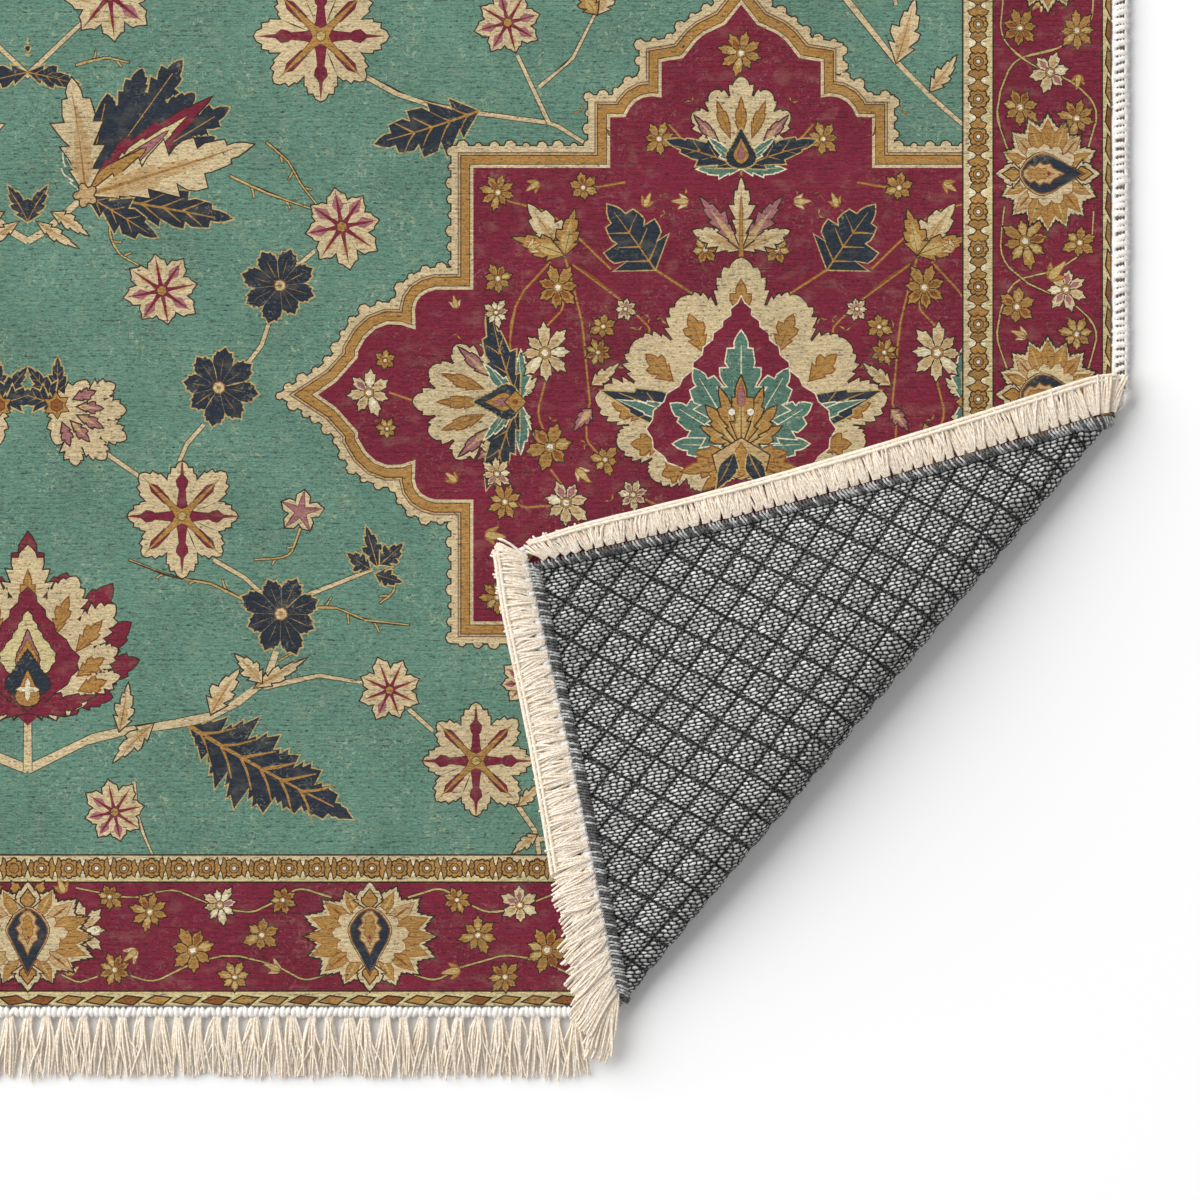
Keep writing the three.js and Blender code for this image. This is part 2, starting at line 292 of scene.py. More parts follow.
def fold(u, v, height):
    """The folded place of a flat point at a height in the stack, in millimetres."""
    angle, depth = roll_turn(u, v)
    if angle == 0.0:
        return Vector((u, v, height))
    along, outward = fold_axes(u, v)
    outer = roll_radius(along)
    layer = outer - height
    settled = ease(depth / SETTLE_LENGTH)
    draw = RIGHT_END_DRAW * (1.0 - min(max(along / FOLD_LENGTH, 0.0), 1.0)) ** 2
    slide = FLAP_SKEW * depth - draw * ease(angle / math.pi) * (1.0 - settled)
    across = layer * math.sin(angle) - outer - depth
    place = FOLD_START + FOLD_ALONG * (along + slide) + FOLD_OUTWARD * across
    rise = outer - layer * math.cos(angle) - 2.0 * (outer - CREASE_RADIUS) * settled
    return Vector((place.real, place.imag, rise))


corner = fold(CLOTH_X, -CLOTH_Y, 0.0)
print(f"fold {FOLD_LENGTH:.0f} mm long; the cloth's corner lands at", [round(c) for c in corner])

# %% [markdown]
# ## Cutting a pattern into cloth
# A printed pattern could be an image, but then its lines blur close up. Here every
# printed shape is a flat outline. Blender's Delaunay routine cuts one flat sheet along
# all outlines at once and tells which of them cover each triangle, so the shape that
# was drawn last gives the triangle its colour, as with paint.

# %% A flat sheet cut along outlines and lines
JOIN_DISTANCE = 0.001
REPEAT_DISTANCE = 0.03
BOX_MARGIN = 0.01


def area_of(outline):
    return sum((a.conjugate() * b).imag for a, b in zip(outline, outline[1:] + outline[:1])) / 2


def tidied(outline):
    """The outline without repeated points, anticlockwise, begun at its leftmost point."""
    before = outline[-1:] + outline[:-1]
    kept = [p for last, p in zip(before, outline) if abs(p - last) > REPEAT_DISTANCE]
    first = min(range(len(kept)), key=lambda k: (kept[k].real, kept[k].imag))
    kept = kept[first:] + kept[:first]
    turn = ((kept[0] - kept[-1]).conjugate() * (kept[1] - kept[0])).imag
    return kept if turn > 0 else kept[:1] + kept[:0:-1]


def cut_sheet(edge, shapes=(), lines=()):
    """The points and triangles of a flat sheet, with the number of the top shape on each."""
    places, faces, cuts, boxes = [], [], [], []
    for outline in [edge, *shapes]:
        first = len(places)
        outline = tidied(outline)
        places.extend(Vector((p.real, p.imag)) for p in outline)
        faces.append(list(range(first, len(places))))
        across, up = [p.real for p in outline], [p.imag for p in outline]
        boxes.append((min(across) - BOX_MARGIN, max(across) + BOX_MARGIN,
                      min(up) - BOX_MARGIN, max(up) + BOX_MARGIN))
    for line in lines:
        first = len(places)
        places.extend(Vector((p.real, p.imag)) for p in line)
        cuts.extend((k, k + 1) for k in range(first, len(places) - 1))
    made = delaunay_2d_cdt(places, cuts, faces, 1, JOIN_DISTANCE, True)
    points, triangles, tops = made[0], [], []
    for triangle, owners in zip(made[2], made[5]):
        if 0 in owners and len(set(triangle)) == 3:
            middle = (points[triangle[0]] + points[triangle[1]] + points[triangle[2]]) / 3
            triangles.append(triangle)
            tops.append(top_owner(owners, boxes, middle) - 1)
    return points, triangles, tops


def top_owner(owners, boxes, place):
    """The last drawn shape whose own box holds the place."""
    for owner in sorted(owners, reverse=True):
        left, right, low, high = boxes[owner]
        if left <= place[0] <= right and low <= place[1] <= high:
            return owner
    return 0


def rectangle(left, low, right, high):
    return [complex(left, low), complex(right, low), complex(right, high), complex(left, high)]


example = cut_sheet(rectangle(0, 0, 10, 10), [rectangle(2, 2, 5, 5)])
print("a square with a smaller one printed on it has", len(example[1]), "triangles")

# %% [markdown]
# ## Drawing with complex numbers
# A motif is drawn once, about its own root and pointing along the real axis, and then
# turned, sized and moved with one product and one sum. The basic shapes are a bowed
# stretch, a smooth line through points, a ribbon along a line and an outline grown by
# a given width, which gives every motif its dark drawn edge.

# %% Lines and outlines
LOOP_REACH = 12
LEAST_SPREAD = 0.45


def smooth_line(points, steps=5):
    """A smooth line through points, by the Catmull-Rom rule."""
    ends = [2 * points[0] - points[1], *points, 2 * points[-1] - points[-2]]
    line = []
    for a, b, c, d in zip(ends, ends[1:], ends[2:], ends[3:]):
        for k in range(steps):
            t = k / steps
            line.append(0.5 * (2 * b + (c - a) * t + (2 * a - 5 * b + 4 * c - d) * t * t
                               + (3 * b - a - 3 * c + d) * t ** 3))
    return line + [points[-1]]


def bowed(start, end, bow, steps=5):
    """Points from start up to end, bowed to the left by a share of the distance."""
    side = (end - start) * 1j * bow
    return [start + (end - start) * k / steps + side * 4 * (k / steps) * (1 - k / steps)
            for k in range(steps)]


def ribbon(line, start_width, end_width):
    """A band along a line that runs from one width to another."""
    left, right = [], []
    for k, point in enumerate(line):
        ahead = line[min(k + 1, len(line) - 1)] - line[max(k - 1, 0)]
        side = ahead / (abs(ahead) or 1.0) * 1j
        share = k / (len(line) - 1)
        half = (start_width + (end_width - start_width) * share) / 2
        left.append(point + side * half)
        right.append(point - side * half)
    return left + right[::-1]


def without_loops(outline):
    """Cuts off the small loops that a grown outline makes at its inner corners."""
    count = len(outline)
    reach = min(LOOP_REACH, count // 3)
    kept, k = [], 0
    while k < count:
        kept.append(outline[k])
        a, b = outline[k], outline[(k + 1) % count]
        for ahead in range(min(reach, count - k - 2), 1, -1):
            c, d = outline[k + ahead], outline[(k + ahead + 1) % count]
            cross = intersect_line_line_2d(*[(p.real, p.imag) for p in (a, b, c, d)])
            if cross:
                kept.append(complex(*cross))
                k += ahead
                break
        k += 1
    return kept


def grown(outline, width):
    """The outline moved outward by a width, with its corners kept."""
    if area_of(outline) <= 0:
        outline = outline[::-1]
    moved_out = []
    for before, point, after in zip(outline[-1:] + outline[:-1], outline, outline[1:] + outline[:1]):
        into, out = point - before, after - point
        if abs(into) < 1e-6 or abs(out) < 1e-6:
            continue
        into, out = into / abs(into), out / abs(out)
        corner = -1j * (into + out)
        spread = max(abs(corner) / 2, LEAST_SPREAD)
        moved_out.append(point + corner / (abs(corner) or 1.0) * width / spread)
    return without_loops(moved_out)


def put(shape, at, size=1.0, heading=0.0):
    """The shape at a place, sized and turned to a heading in degrees."""
    turn = cmath.rect(size, math.radians(heading))
    return [at + turn * p for p in shape]


def stretched(shape, at, heading, along, across):
    """The shape at a place, with one size along its heading and another across it."""
    turn = cmath.rect(1.0, math.radians(heading))
    return [at + turn * complex(p.real * along, p.imag * across) for p in shape]


def between(shape, start, end, breadth):
    """A shape drawn from 0 to 1 along the real axis, laid from start to end."""
    along = end - start
    across = along / abs(along) * 1j * breadth
    return [start + along * p.real + across * p.imag for p in shape]


def away(root, heading, reach):
    """The point at a distance from a root, in a heading in degrees."""
    return root + cmath.rect(reach, math.radians(heading))


def mirrored(shape):
    """A symmetric outline from its lower half, which runs from the root to the tip."""
    return shape + [p.conjugate() for p in shape[-2::-1]]


print("a line through 3 points has", len(smooth_line([0j, 1 + 1j, 2 + 0j])), "points")

# %% [markdown]
# ## The colours of the print
# The print uses few inks on a wool-like cloth, and every shape has a dark or pale edge
# drawn round it. The colours are named once, a little weaker than they look on paper,
# because chenille is printed less deeply than paper. A shape is printed by adding it to
# one list, and later shapes cover earlier ones.

# %% The colours of the print and the list of what is printed
INK_STRENGTH = 0.87
INK_CODES = {
    "teal": "648a78", "burgundy": "7b2338", "navy": "2a323d", "gold": "ad8144",
    "cream": "d0bb92", "pale": "e4d8b6", "rose": "a26a6c", "rust": "8a5427",
    "brown": "3a281c", "guard": "d0bf8c", "white": "e6e0cd", "leaf": "54796a",
    "straw": "bfa368", "plum": "6d4a44", "tan": "c0a071", "amber": "a07740",
}
INK = {name: tuple(share * INK_STRENGTH for share in tint(code)[:3]) + (1.0,)
       for name, code in INK_CODES.items()}
DRAWN_EDGE = 0.55
printed = []


def ink(outline, colour, edge=None, edge_width=DRAWN_EDGE):
    """Prints a shape, over all that was printed before it."""
    if edge:
        printed.append((grown(outline, edge_width), edge))
    printed.append((outline, colour))


print("inks:", ", ".join(INK))

# %% [markdown]
# ## Leaves
# The pattern is a traditional one of rosettes, serrated leaves and palmettes on thin
# vines. Most of it is leaves: a pointed outline with teeth that lean to the tip, a
# paler inner leaf, a midrib and side veins. A few rows name the colourings, and two
# short tables draw one tooth.

# %% Leaves
Look = namedtuple("Look", "fill edge vein inner")
LOOKS = {
    "navy": Look("navy", "straw", "gold", None),
    "cream": Look("cream", "brown", "amber", "tan"),
    "gold": Look("gold", "brown", "rust", "straw"),
    "burgundy": Look("burgundy", "brown", None, None),
    "teal": Look("leaf", "pale", "pale", None),
    "rose": Look("rose", "brown", None, "tan"),
    "ember": Look("gold", "rust", "rust", None),
}
# one tooth of a leaf, root first: share of its length, reach, and what the bite adds
Notch = namedtuple("Notch", "share reach give")
PLAIN_TOOTH = [
    Notch(0.10, 1.0, -1.0), Notch(0.40, 0.96, -0.3), Notch(0.70, 0.97, 0.0), Notch(1.08, 1.0, 0.35),
]
ROUGH_TOOTH = [
    Notch(0.10, 1.0, -0.9), Notch(0.30, 0.92, -0.15), Notch(0.38, 0.90, -0.4),
    Notch(0.58, 1.0, 0.05), Notch(0.66, 0.93, -0.1), Notch(1.04, 1.0, 0.3),
]
MANY_TEETH = 6
VALLEY_SHARE = 0.2
UNEVEN_TEETH = 0.35
INNER_LENGTH = 10
SIDE_VEIN_LENGTH = 18
SIDE_VEIN = [(0, 0), (0.07, 0.11), (0.14, 0.27)]


def serrated(teeth, bite, fullest=0.42, uneven=0.0, seed=0):
    """A leaf from 0 to 1, with teeth that lean towards its tip; half its width is 0.5."""
    roll = random.Random(seed)
    tooth = ROUGH_TOOTH if teeth > MANY_TEETH else PLAIN_TOOTH

    def half(t):
        if t < fullest:
            return 0.5 * (max(t, 0.0) / fullest) ** 0.7
        return 0.5 * ((1.0 - t) / (1.0 - fullest)) ** 0.85

    sides = []
    for sign in (1, -1):
        side = []
        for k in range(teeth):
            swell = 1.0 + uneven * (roll.random() - 0.5)
            first = 0 if k else 1
            last = len(tooth) if k < teeth - 1 else len(tooth) - 1
            for notch in tooth[first:last]:
                reach = notch.reach + bite * notch.give
                if notch.share > VALLEY_SHARE:
                    reach *= swell
                t = (k + notch.share) / teeth
                side.append(complex(t, sign * half(t) * reach))
        sides.append(side)
    return [0j] + sides[1] + [1 + 0j] + sides[0][::-1]


def bent(shape, bend):
    return [p + 1j * bend * p.real * p.real for p in shape]


def leaf(start, end, breadth, look, teeth=6, bite=0.4, bend=0.0, fullest=0.42, seed=0, veins=True):
    """A serrated leaf with its inner tone, its midrib and side veins."""
    look = LOOKS[look]
    length = abs(end - start)
    shape = bent(serrated(teeth, bite, fullest, UNEVEN_TEETH, seed), bend)
    ink(between(shape, start, end, breadth), look.fill, look.edge)
    if look.inner and length > INNER_LENGTH and veins:
        small = serrated(max(teeth - 2, 2), 0.3, 0.3, 0.4, seed)
        inside = [complex(0.04 + 0.74 * p.real, 0.5 * p.imag) for p in small]
        ink(between(bent(inside, bend), start, end, breadth), look.inner)
    if not look.vein or not veins:
        return
    midrib = bent([complex(t, 0) for t in (0.0, 0.25, 0.5, 0.72, 0.88)], bend)
    ink(between(ribbon(midrib, 0.04, 0.01), start, end, length * 0.6), look.vein)
    if length > SIDE_VEIN_LENGTH and look.fill == "navy":
        for k in range(1, teeth):
            root = (k - 0.4) / teeth * 0.86
            for sign in (1, -1):
                side = [complex(root + ahead, sign * out) for ahead, out in SIDE_VEIN]
                ink(between(ribbon(bent(side, bend), 0.025, 0.008), start, end, breadth), look.vein)


print("a leaf of 5 teeth has", len(serrated(5, 0.4)), "corners")

# %% [markdown]
# ## Other basic outlines
# Palmettes also need fans of toothed lobes in one outline, pointed hearts that swell
# and narrow, drops and small discs. Each comes from a short list of turns, reaches or
# half widths.

# %% Lobes, hearts and drops
DROP_POINTS = 14
OGEE_ROUND = [
    # share of the length, half width
    (0, 0.08), (0.04, 0.26), (0.12, 0.4), (0.27, 0.47), (0.42, 0.4), (0.55, 0.28), (0.68, 0.2),
    (0.80, 0.12), (0.90, 0.05), (1, 0),
]
OGEE_DIAMOND = [(0, 0.0), (0.18, 0.18), (0.36, 0.42), (0.5, 0.47), (0.68, 0.27), (0.84, 0.13), (1, 0)]
OGEE_SLIM = [(0, 0.06), (0.1, 0.3), (0.3, 0.48), (0.5, 0.42), (0.68, 0.24), (0.84, 0.12), (1, 0)]


def lobed(lobes, valley, teeth, tooth, bulge, seed):
    """One outline of toothed lobes about a root; each lobe has a turn in degrees and a reach."""
    roll = random.Random(seed)
    tips = [cmath.rect(reach, math.radians(turn)) for turn, reach in lobes]
    valleys = [(a + b) / abs(a + b) * (abs(a) + abs(b)) / 2 * valley for a, b in zip(tips, tips[1:])]
    valleys = [0j, *valleys, 0j]

    def side(low, tip, sign):
        ahead = tip - low
        out = ahead * sign * -1j
        points = []
        for k in range(teeth):
            size = tooth * roll.uniform(0.6, 1.4)
            for share, rise in ((0.1, -size * 0.5), (0.5, size * 0.3), (0.95, size)):
                t = (k + share) / (teeth + 0.25)
                swell = bulge * math.sin(math.pi * t) + rise * (1.0 - t ** 3)
                points.append(low + ahead * t + out * swell)
        return points

    outline = [0j]
    for k, tip in enumerate(tips):
        outline += side(valleys[k], tip, 1) + [tip] + side(valleys[k + 1], tip, -1)[::-1]
        if k < len(tips) - 1:
            outline.append(valleys[k + 1])
    return outline


def even_lobes(half):
    """A fan of lobes that is the same on both sides, from its middle lobe outward."""
    return [(-turn, reach) for turn, reach in half[:0:-1]] + half


def ogee(profile, scallop=0.0):
    """A pointed outline from 0 to 1, from half widths along it, with small scallops."""
    line = smooth_line([complex(*p) for p in profile], 3)
    side = [p + 1j * (scallop if k % 2 else 0.0) for k, p in enumerate(line[:-1])]
    return [p.conjugate() for p in side] + [line[-1]] + side[::-1]


def drop(length, breadth, point=0.0):
    """A drop shape from its round end at 0 to its tip at the length."""
    outline = []
    for k in range(DROP_POINTS):
        angle = 2 * math.pi * k / DROP_POINTS
        x = 0.5 - 0.5 * math.cos(angle)
        y = math.sin(angle) * (0.5 - 0.32 * x) * (1 - point * x)
        outline.append(complex(x * length, y * breadth * 1.35))
    return outline


def diamond(start, end, half_width):
    """A thin spindle that is widest halfway from its start to its end."""
    middle = (start + end) / 2
    return [complex(start, 0), complex(middle, half_width), complex(end, 0), complex(middle, -half_width)]


def ring_of(radius, sides=8):
    return [cmath.rect(radius, 2 * math.pi * (k + 0.5) / sides) for k in range(sides)]


print("a heart has", len(ogee(OGEE_ROUND)), "corners, a drop", len(drop(1.0, 1.0)))

# %% [markdown]
# ## Rosettes
# The open flowers are discs of petals with notched tips. A large one has eight petals
# with burgundy bars, a small one petals in changing colours, and a dark one is drawn in
# gold lines. Each petal is a short half profile, mirrored and turned round the centre.

# %% Rosettes
# half a petal: share of the petal, reach
PETAL_LARGE = [(-0.5, 0.66), (-0.40, 0.80), (-0.33, 0.80), (-0.27, 0.90), (-0.17, 0.88), (-0.10, 0.96)]
PETAL_SMALL = [(-0.5, 0.66), (-0.34, 0.84), (-0.20, 0.86)]
PETAL_POINTED = [(-0.5, 0.52), (-0.30, 0.80), (-0.18, 0.84)]
PETAL_BORDER = [(-0.5, 0.48), (-0.3, 0.8), (-0.16, 0.80)]
PETAL_FOOT = 0.7
# what is drawn on one petal that points along the real axis
PETAL_FULL = [0.3 + 0j, 0.55 - 0.15j, 0.8 - 0.04j, 0.8 + 0.04j, 0.55 + 0.15j]
PETAL_SLIM = [0.3 + 0j, 0.55 - 0.12j, 0.76 + 0j, 0.55 + 0.12j]
PETAL_MARK = [0.45 + 0j, 0.6 - 0.05j, 0.72 + 0j, 0.6 + 0.05j]
PETAL_BASE = [0.16 + 0j, 0.5 - 0.15j, 0.8 + 0j, 0.5 + 0.15j]
PETAL_DART = [0.22 + 0j, 0.36 - 0.045j, 0.42 + 0j, 0.36 + 0.045j]
ROSETTE_PETALS = 8
SECOND_CHANCE = 0.42


def petals(count, profile, wobble=0.0, seed=0):
    """A flower's outline of radius 1, from one petal's half profile."""
    roll = random.Random(seed)
    whole = [*profile, (0.0, 1.0), *[(-share, far) for share, far in profile[:0:-1]]]
    outline = []
    for k in range(count):
        reach = 1.0 + wobble * (roll.random() - 0.5)
        for share, far in whole:
            far = far if far < PETAL_FOOT else far * reach
            outline.append(cmath.rect(far, 2 * math.pi * (k + share) / count))
    return outline


def spokes(at, radius, count, start, end, width, colour, heading=0.0):
    """Thin spindles that run outward, evenly about a centre."""
    for k in range(count):
        ink(put(diamond(start, end, width * 0.5), at, radius, heading + 360 * k / count), colour)


def large_rosette(at, radius, seed):
    """Eight cream petals with burgundy bars round a gold heart."""
    ink(put(petals(ROSETTE_PETALS, PETAL_LARGE, 0.14, seed), at, radius), "cream", "brown")
    spokes(at, radius, ROSETTE_PETALS, 0.2, 0.68, 0.022, "brown", 22.5)
    for k in range(ROSETTE_PETALS):
        turn = 45 * k
        long_bar = k % 2
        start, end, width = (0.26, 0.80, 0.12) if long_bar else (0.40, 0.74, 0.17)
        low, high = start + 0.12, end - 0.12
        bar = [complex(start, 0), complex(low, -width / 2), complex(high, -width * 0.6),
               complex(end, 0), complex(high, width * 0.6), complex(low, width / 2)]
        ink(put(bar, at, radius, turn), "burgundy", "brown", 0.22)
        if not long_bar:
            ink(put(PETAL_DART, at, radius, turn), "burgundy")
            ink(put(ring_of(0.04, 5), away(at, turn, radius * 0.84), radius), "straw")
    ink(put(petals(4, [(-0.5, 0.16), (-0.2, 0.24)]), at, radius), "burgundy", "brown", 0.25)
    ink(put(petals(4, [(-0.5, 0.13), (-0.2, 0.19)]), at, radius * 0.95, 45), "gold", "brown", 0.25)
    ink(put(ring_of(0.075, 6), at, radius), "straw", "brown", 0.25)


def small_rosette(at, radius, seed):
    """A smaller flower whose petals change between two colours."""
    roll = random.Random(seed)
    heading = roll.uniform(0, 45)
    ink(put(petals(ROSETTE_PETALS, PETAL_SMALL, 0.2, seed), at, radius, heading), "cream", "brown")
    for k in range(ROSETTE_PETALS):
        turn = heading + 360 * k / ROSETTE_PETALS
        if roll.random() < SECOND_CHANCE:
            ink(put(PETAL_FULL, at, radius, turn), "rose")
        else:
            ink(put(PETAL_SLIM, at, radius, turn), "tan")
            ink(put(PETAL_MARK, at, radius, turn), "amber")
    spokes(at, radius, ROSETTE_PETALS, 0.15, 0.72, 0.03, "brown", heading + 180 / ROSETTE_PETALS)
    ink(put(petals(ROSETTE_PETALS, [(-0.5, 0.17), (-0.2, 0.30)]), at, radius, heading), "burgundy")
    ink(put(ring_of(0.13, 6), at, radius, heading), "gold", "brown", 0.3)


def navy_rosette(at, radius, seed):
    """A dark flower with gold drawn edges and ribs."""
    heading = random.Random(seed).uniform(0, 45)
    ink(put(petals(ROSETTE_PETALS, PETAL_LARGE[:5], 0.22, seed), at, radius, heading), "navy", "straw", 0.6)
    spokes(at, radius, ROSETTE_PETALS, 0.15, 0.70, 0.05, "straw", heading + 180 / ROSETTE_PETALS)
    spokes(at, radius, ROSETTE_PETALS, 0.2, 0.80, 0.03, "gold", heading)
    ink(put(ring_of(0.15, 7), at, radius), "cream", "rust", 0.5)
    ink(put(ring_of(0.07, 5), at, radius), "gold")


def blossom(at, radius, seed, fill="gold", count=7):
    """A border flower with notched petals, their shaded bases and a pale centre."""
    roll = random.Random(seed)
    heading = roll.uniform(0, 50)
    shade, light = ("amber", "straw") if fill == "gold" else ("tan", "pale")
    ink(put(petals(count, PETAL_BORDER, 0.34, seed), at, radius, heading), fill, "brown", 0.5)
    for k in range(count):
        turn = heading + 360 * k / count
        tone = roll.choice((shade, light, shade, "rust" if fill == "gold" else "rose"))
        ink(put(PETAL_BASE, at, radius, turn), tone)
    spokes(at, radius, count, 0.18, 0.6, 0.07, "brown", heading + 180 / count)
    ink(put(ring_of(0.24, 6), at, radius), "gold", "brown", 0.25)
    ink(put(ring_of(0.14, 5), at, radius), "white")


def sprig(at, heading, size, fill, seed):
    """Three small leaves on one root, as buds are drawn on the vines."""
    roll = random.Random(seed)
    for turn, reach in ((38, 0.8), (-40, 0.75), (0, 1.0)):
        far = cmath.rect(size * reach * roll.uniform(0.85, 1.1), math.radians(heading + turn))
        ink(between(drop(1.0, 0.36), at, at + far, abs(far)), fill if turn else "straw", "rust", 0.3)


print("a large flower's outline has", len(petals(ROSETTE_PETALS, PETAL_LARGE)), "corners")

# %% [markdown]
# ## Vines and twigs
# Thin stems tie the flowers together. A vine is a plain ribbon with a dark edge. A twig
# is thinner and has small hooks on both sides, which the photograph shows on the
# shortest stems.

# %% Vines
TWIG_WIDTH = 0.9
HOOK_SPACING = 4


def vine(points, width, end_width, fill="cream", edge="brown"):
    """A stem through points, from one width to another, with a drawn edge."""
    line = smooth_line([complex(*p) for p in points])
    ink(ribbon(line, width + 0.7, end_width + 0.6), edge)
    ink(ribbon(line, width, end_width), fill)


def twig(points, seed):
    """A thin stem with small hooks on both sides."""
    roll = random.Random(seed)
    line = smooth_line([complex(*p) for p in points])
    for k in range(3, len(line) - 2, HOOK_SPACING):
        ahead = line[k + 1] - line[k - 1]
        turn = cmath.rect(1.0, roll.choice((-1, 1)) * roll.uniform(0.6, 1.1))
        hook = line[k] + ahead / abs(ahead) * turn * roll.uniform(3.0, 5.5)
        bow = (line[k] + hook) / 2 + ahead * 0.05
        ink(ribbon([line[k], bow, hook], TWIG_WIDTH, 0.5), "straw", "brown", 0.3)
    ink(ribbon(line, TWIG_WIDTH, TWIG_WIDTH * 0.6), "straw", "brown", 0.35)

# %% [markdown]
# ## Palmettes
# A palmette stands on one root. Its back is one outline of toothed lobes, and serrated
# leaves and a pointed heart are laid over it. Short tables draw each kind. In a blade's
# row the turn is measured away from the palmette's heading, the reach and breadth are
# shares of its size, and a twin stands on the other side.

# %% Fans and hearts
Blade = namedtuple("Blade", "turn reach breadth look teeth bend twin")
Heart = namedtuple("Heart", "start reach breadth colour edge teeth")
Shield = namedtuple("Shield", "profile start reach breadth colour edge")
LEAST_LOBE = 0.45


def fan(root, heading, size, blades, seed):
    """Serrated leaves on one root; a blade with a twin is drawn on both sides."""
    for number, blade in enumerate(blades):
        for sign in ((1, -1) if blade.twin else (1,)):
            far = away(root, heading + sign * blade.turn, size * blade.reach)
            leaf(root, far, size * blade.breadth, blade.look, blade.teeth, 0.42,
                 sign * blade.bend, 0.6, seed + number)


def hearts(root, heading, size, rows, seed):
    """Pointed shapes one over another on a palmette's axis; no teeth makes a plain one."""
    for number, row in enumerate(rows):
        start = away(root, heading, size * row.start)
        far = away(root, heading, size * row.reach)
        shape = serrated(row.teeth, 0.2, 0.34, 0.1, seed + number) if row.teeth else drop(1.0, 1.0, 0.35)
        ink(between(shape, start, far, size * row.breadth), row.colour, row.edge, 0.4)


def lobe_leaves(root, heading, size, lobes, start, end, breadth, look):
    """A small leaf inside each lobe that is long enough, between two shares of its reach."""
    for turn, reach in lobes:
        if reach > LEAST_LOBE:
            ahead = away(0j, heading + turn, size * reach)
            leaf(root + ahead * start, root + ahead * end, size * breadth, look,
                 teeth=3, bite=0.45, fullest=0.6)

# %% [markdown]
# ## The palmettes of the field
# The open field has a spray with dark leaves behind pale ones, a sheaf like half a
# flower, and one great palmette on the middle line. Each list of lobes has a turn in
# degrees and a reach. Where both sides are alike, only one side is listed.

# %% Spray, sheaf and great palmette
SPRAY_BACK = [(-14, 0.82), (-6.6, 0.97), (5, 0.86), (16.5, 0.96), (28, 0.80), (40, 0.6)]
SPRAY_BLADES = [
    Blade(-46, 0.86, 0.26, "navy", 6, -0.06, False), Blade(-66, 0.48, 0.20, "navy", 4, -0.1, False),
    Blade(76, 0.28, 0.12, "teal", 3, 0.1, False),
]
SPRAY_FRONT = [
    Blade(55, 0.68, 0.28, "cream", 5, 0.16, False), Blade(-22, 1.01, 0.30, "cream", 6, 0.05, False),
]
SPRAY_HEARTS = [
    Heart(0.02, 0.93, 0.24, "burgundy", "brown", 5), Heart(0.16, 0.74, 0.13, "guard", "brown", 4),
    Heart(0.22, 0.60, 0.08, "rose", "brown", 0), Heart(0.05, 0.44, 0.13, "gold", "brown", 0),
]
GREAT_BACK = even_lobes([(0, 1.08), (16, 0.86), (34, 0.92), (50, 0.82), (66, 0.74), (82, 0.52), (95, 0.30)])
GREAT_FRONT = even_lobes([(0, 1.0), (20, 0.86), (40, 0.83), (56, 0.66), (70, 0.60), (84, 0.36)])
GREAT_SHIELDS = [
    Shield(OGEE_DIAMOND, -0.10, 0.74, 0.62, "burgundy", "brown"),
    Shield(OGEE_DIAMOND, 0.08, 0.60, 0.34, "guard", "brown"),
    Shield(OGEE_SLIM, 0.2, 0.48, 0.14, "rose", "brown"),
    Shield(OGEE_SLIM, 0.24, 0.42, 0.12, "gold", "rust"),
    Shield(OGEE_ROUND, 0.08, 0.36, 0.28, "navy", "brown"),
    Shield(OGEE_ROUND, 0.02, 0.24, 0.15, "gold", "brown"),
]
SHEAF_FRONT = [(-66, 0.5), (-46, 0.82), (-22, 0.94), (0, 1.0), (22, 0.9), (46, 0.8), (66, 0.5)]


def spray(root, heading, size, seed):
    """The palmette of the open field, with dark leaves behind its pale ones."""
    ink(put(lobed(SPRAY_BACK, 0.78, 3, 0.09, 0.1, seed), root, size, heading), "navy", "straw")
    for turn, reach in SPRAY_BACK[1::2]:
        ink(ribbon([root, away(root, heading + turn, size * reach * 0.9)], 0.5, 0.4), "gold")
    fan(root, heading, size, SPRAY_BLADES, seed)
    hearts(root, heading, size, SPRAY_HEARTS, seed)
    fan(root, heading, size, SPRAY_FRONT, seed + 9)
    ink(put(petals(5, [(-0.5, 0.6), (-0.2, 0.9)]), root, size * 0.07, heading), "tan", "brown")


def sheaf(root, heading, size, seed):
    """A half flower on a leafy stem, with dark leaves behind its root."""
    for turn in (112, 150, 185):
        leaf(root, away(root, heading + turn, size * 0.62), size * 0.3, "navy", teeth=5, bend=0.1)
    ink(put(lobed(SHEAF_FRONT, 0.72, 3, 0.12, 0.16, seed), root, size, heading), "cream", "brown")
    lobe_leaves(root, heading, size, SHEAF_FRONT[1:-1], 0.30, 0.66, 0.14, "rose")
    ink(put(petals(6, [(-0.5, 0.6), (-0.2, 0.8)]), root, size * 0.17, heading), "gold", "brown", 0.4)
    ink(put(ring_of(0.08, 6), root, size), "rust", "brown", 0.3)


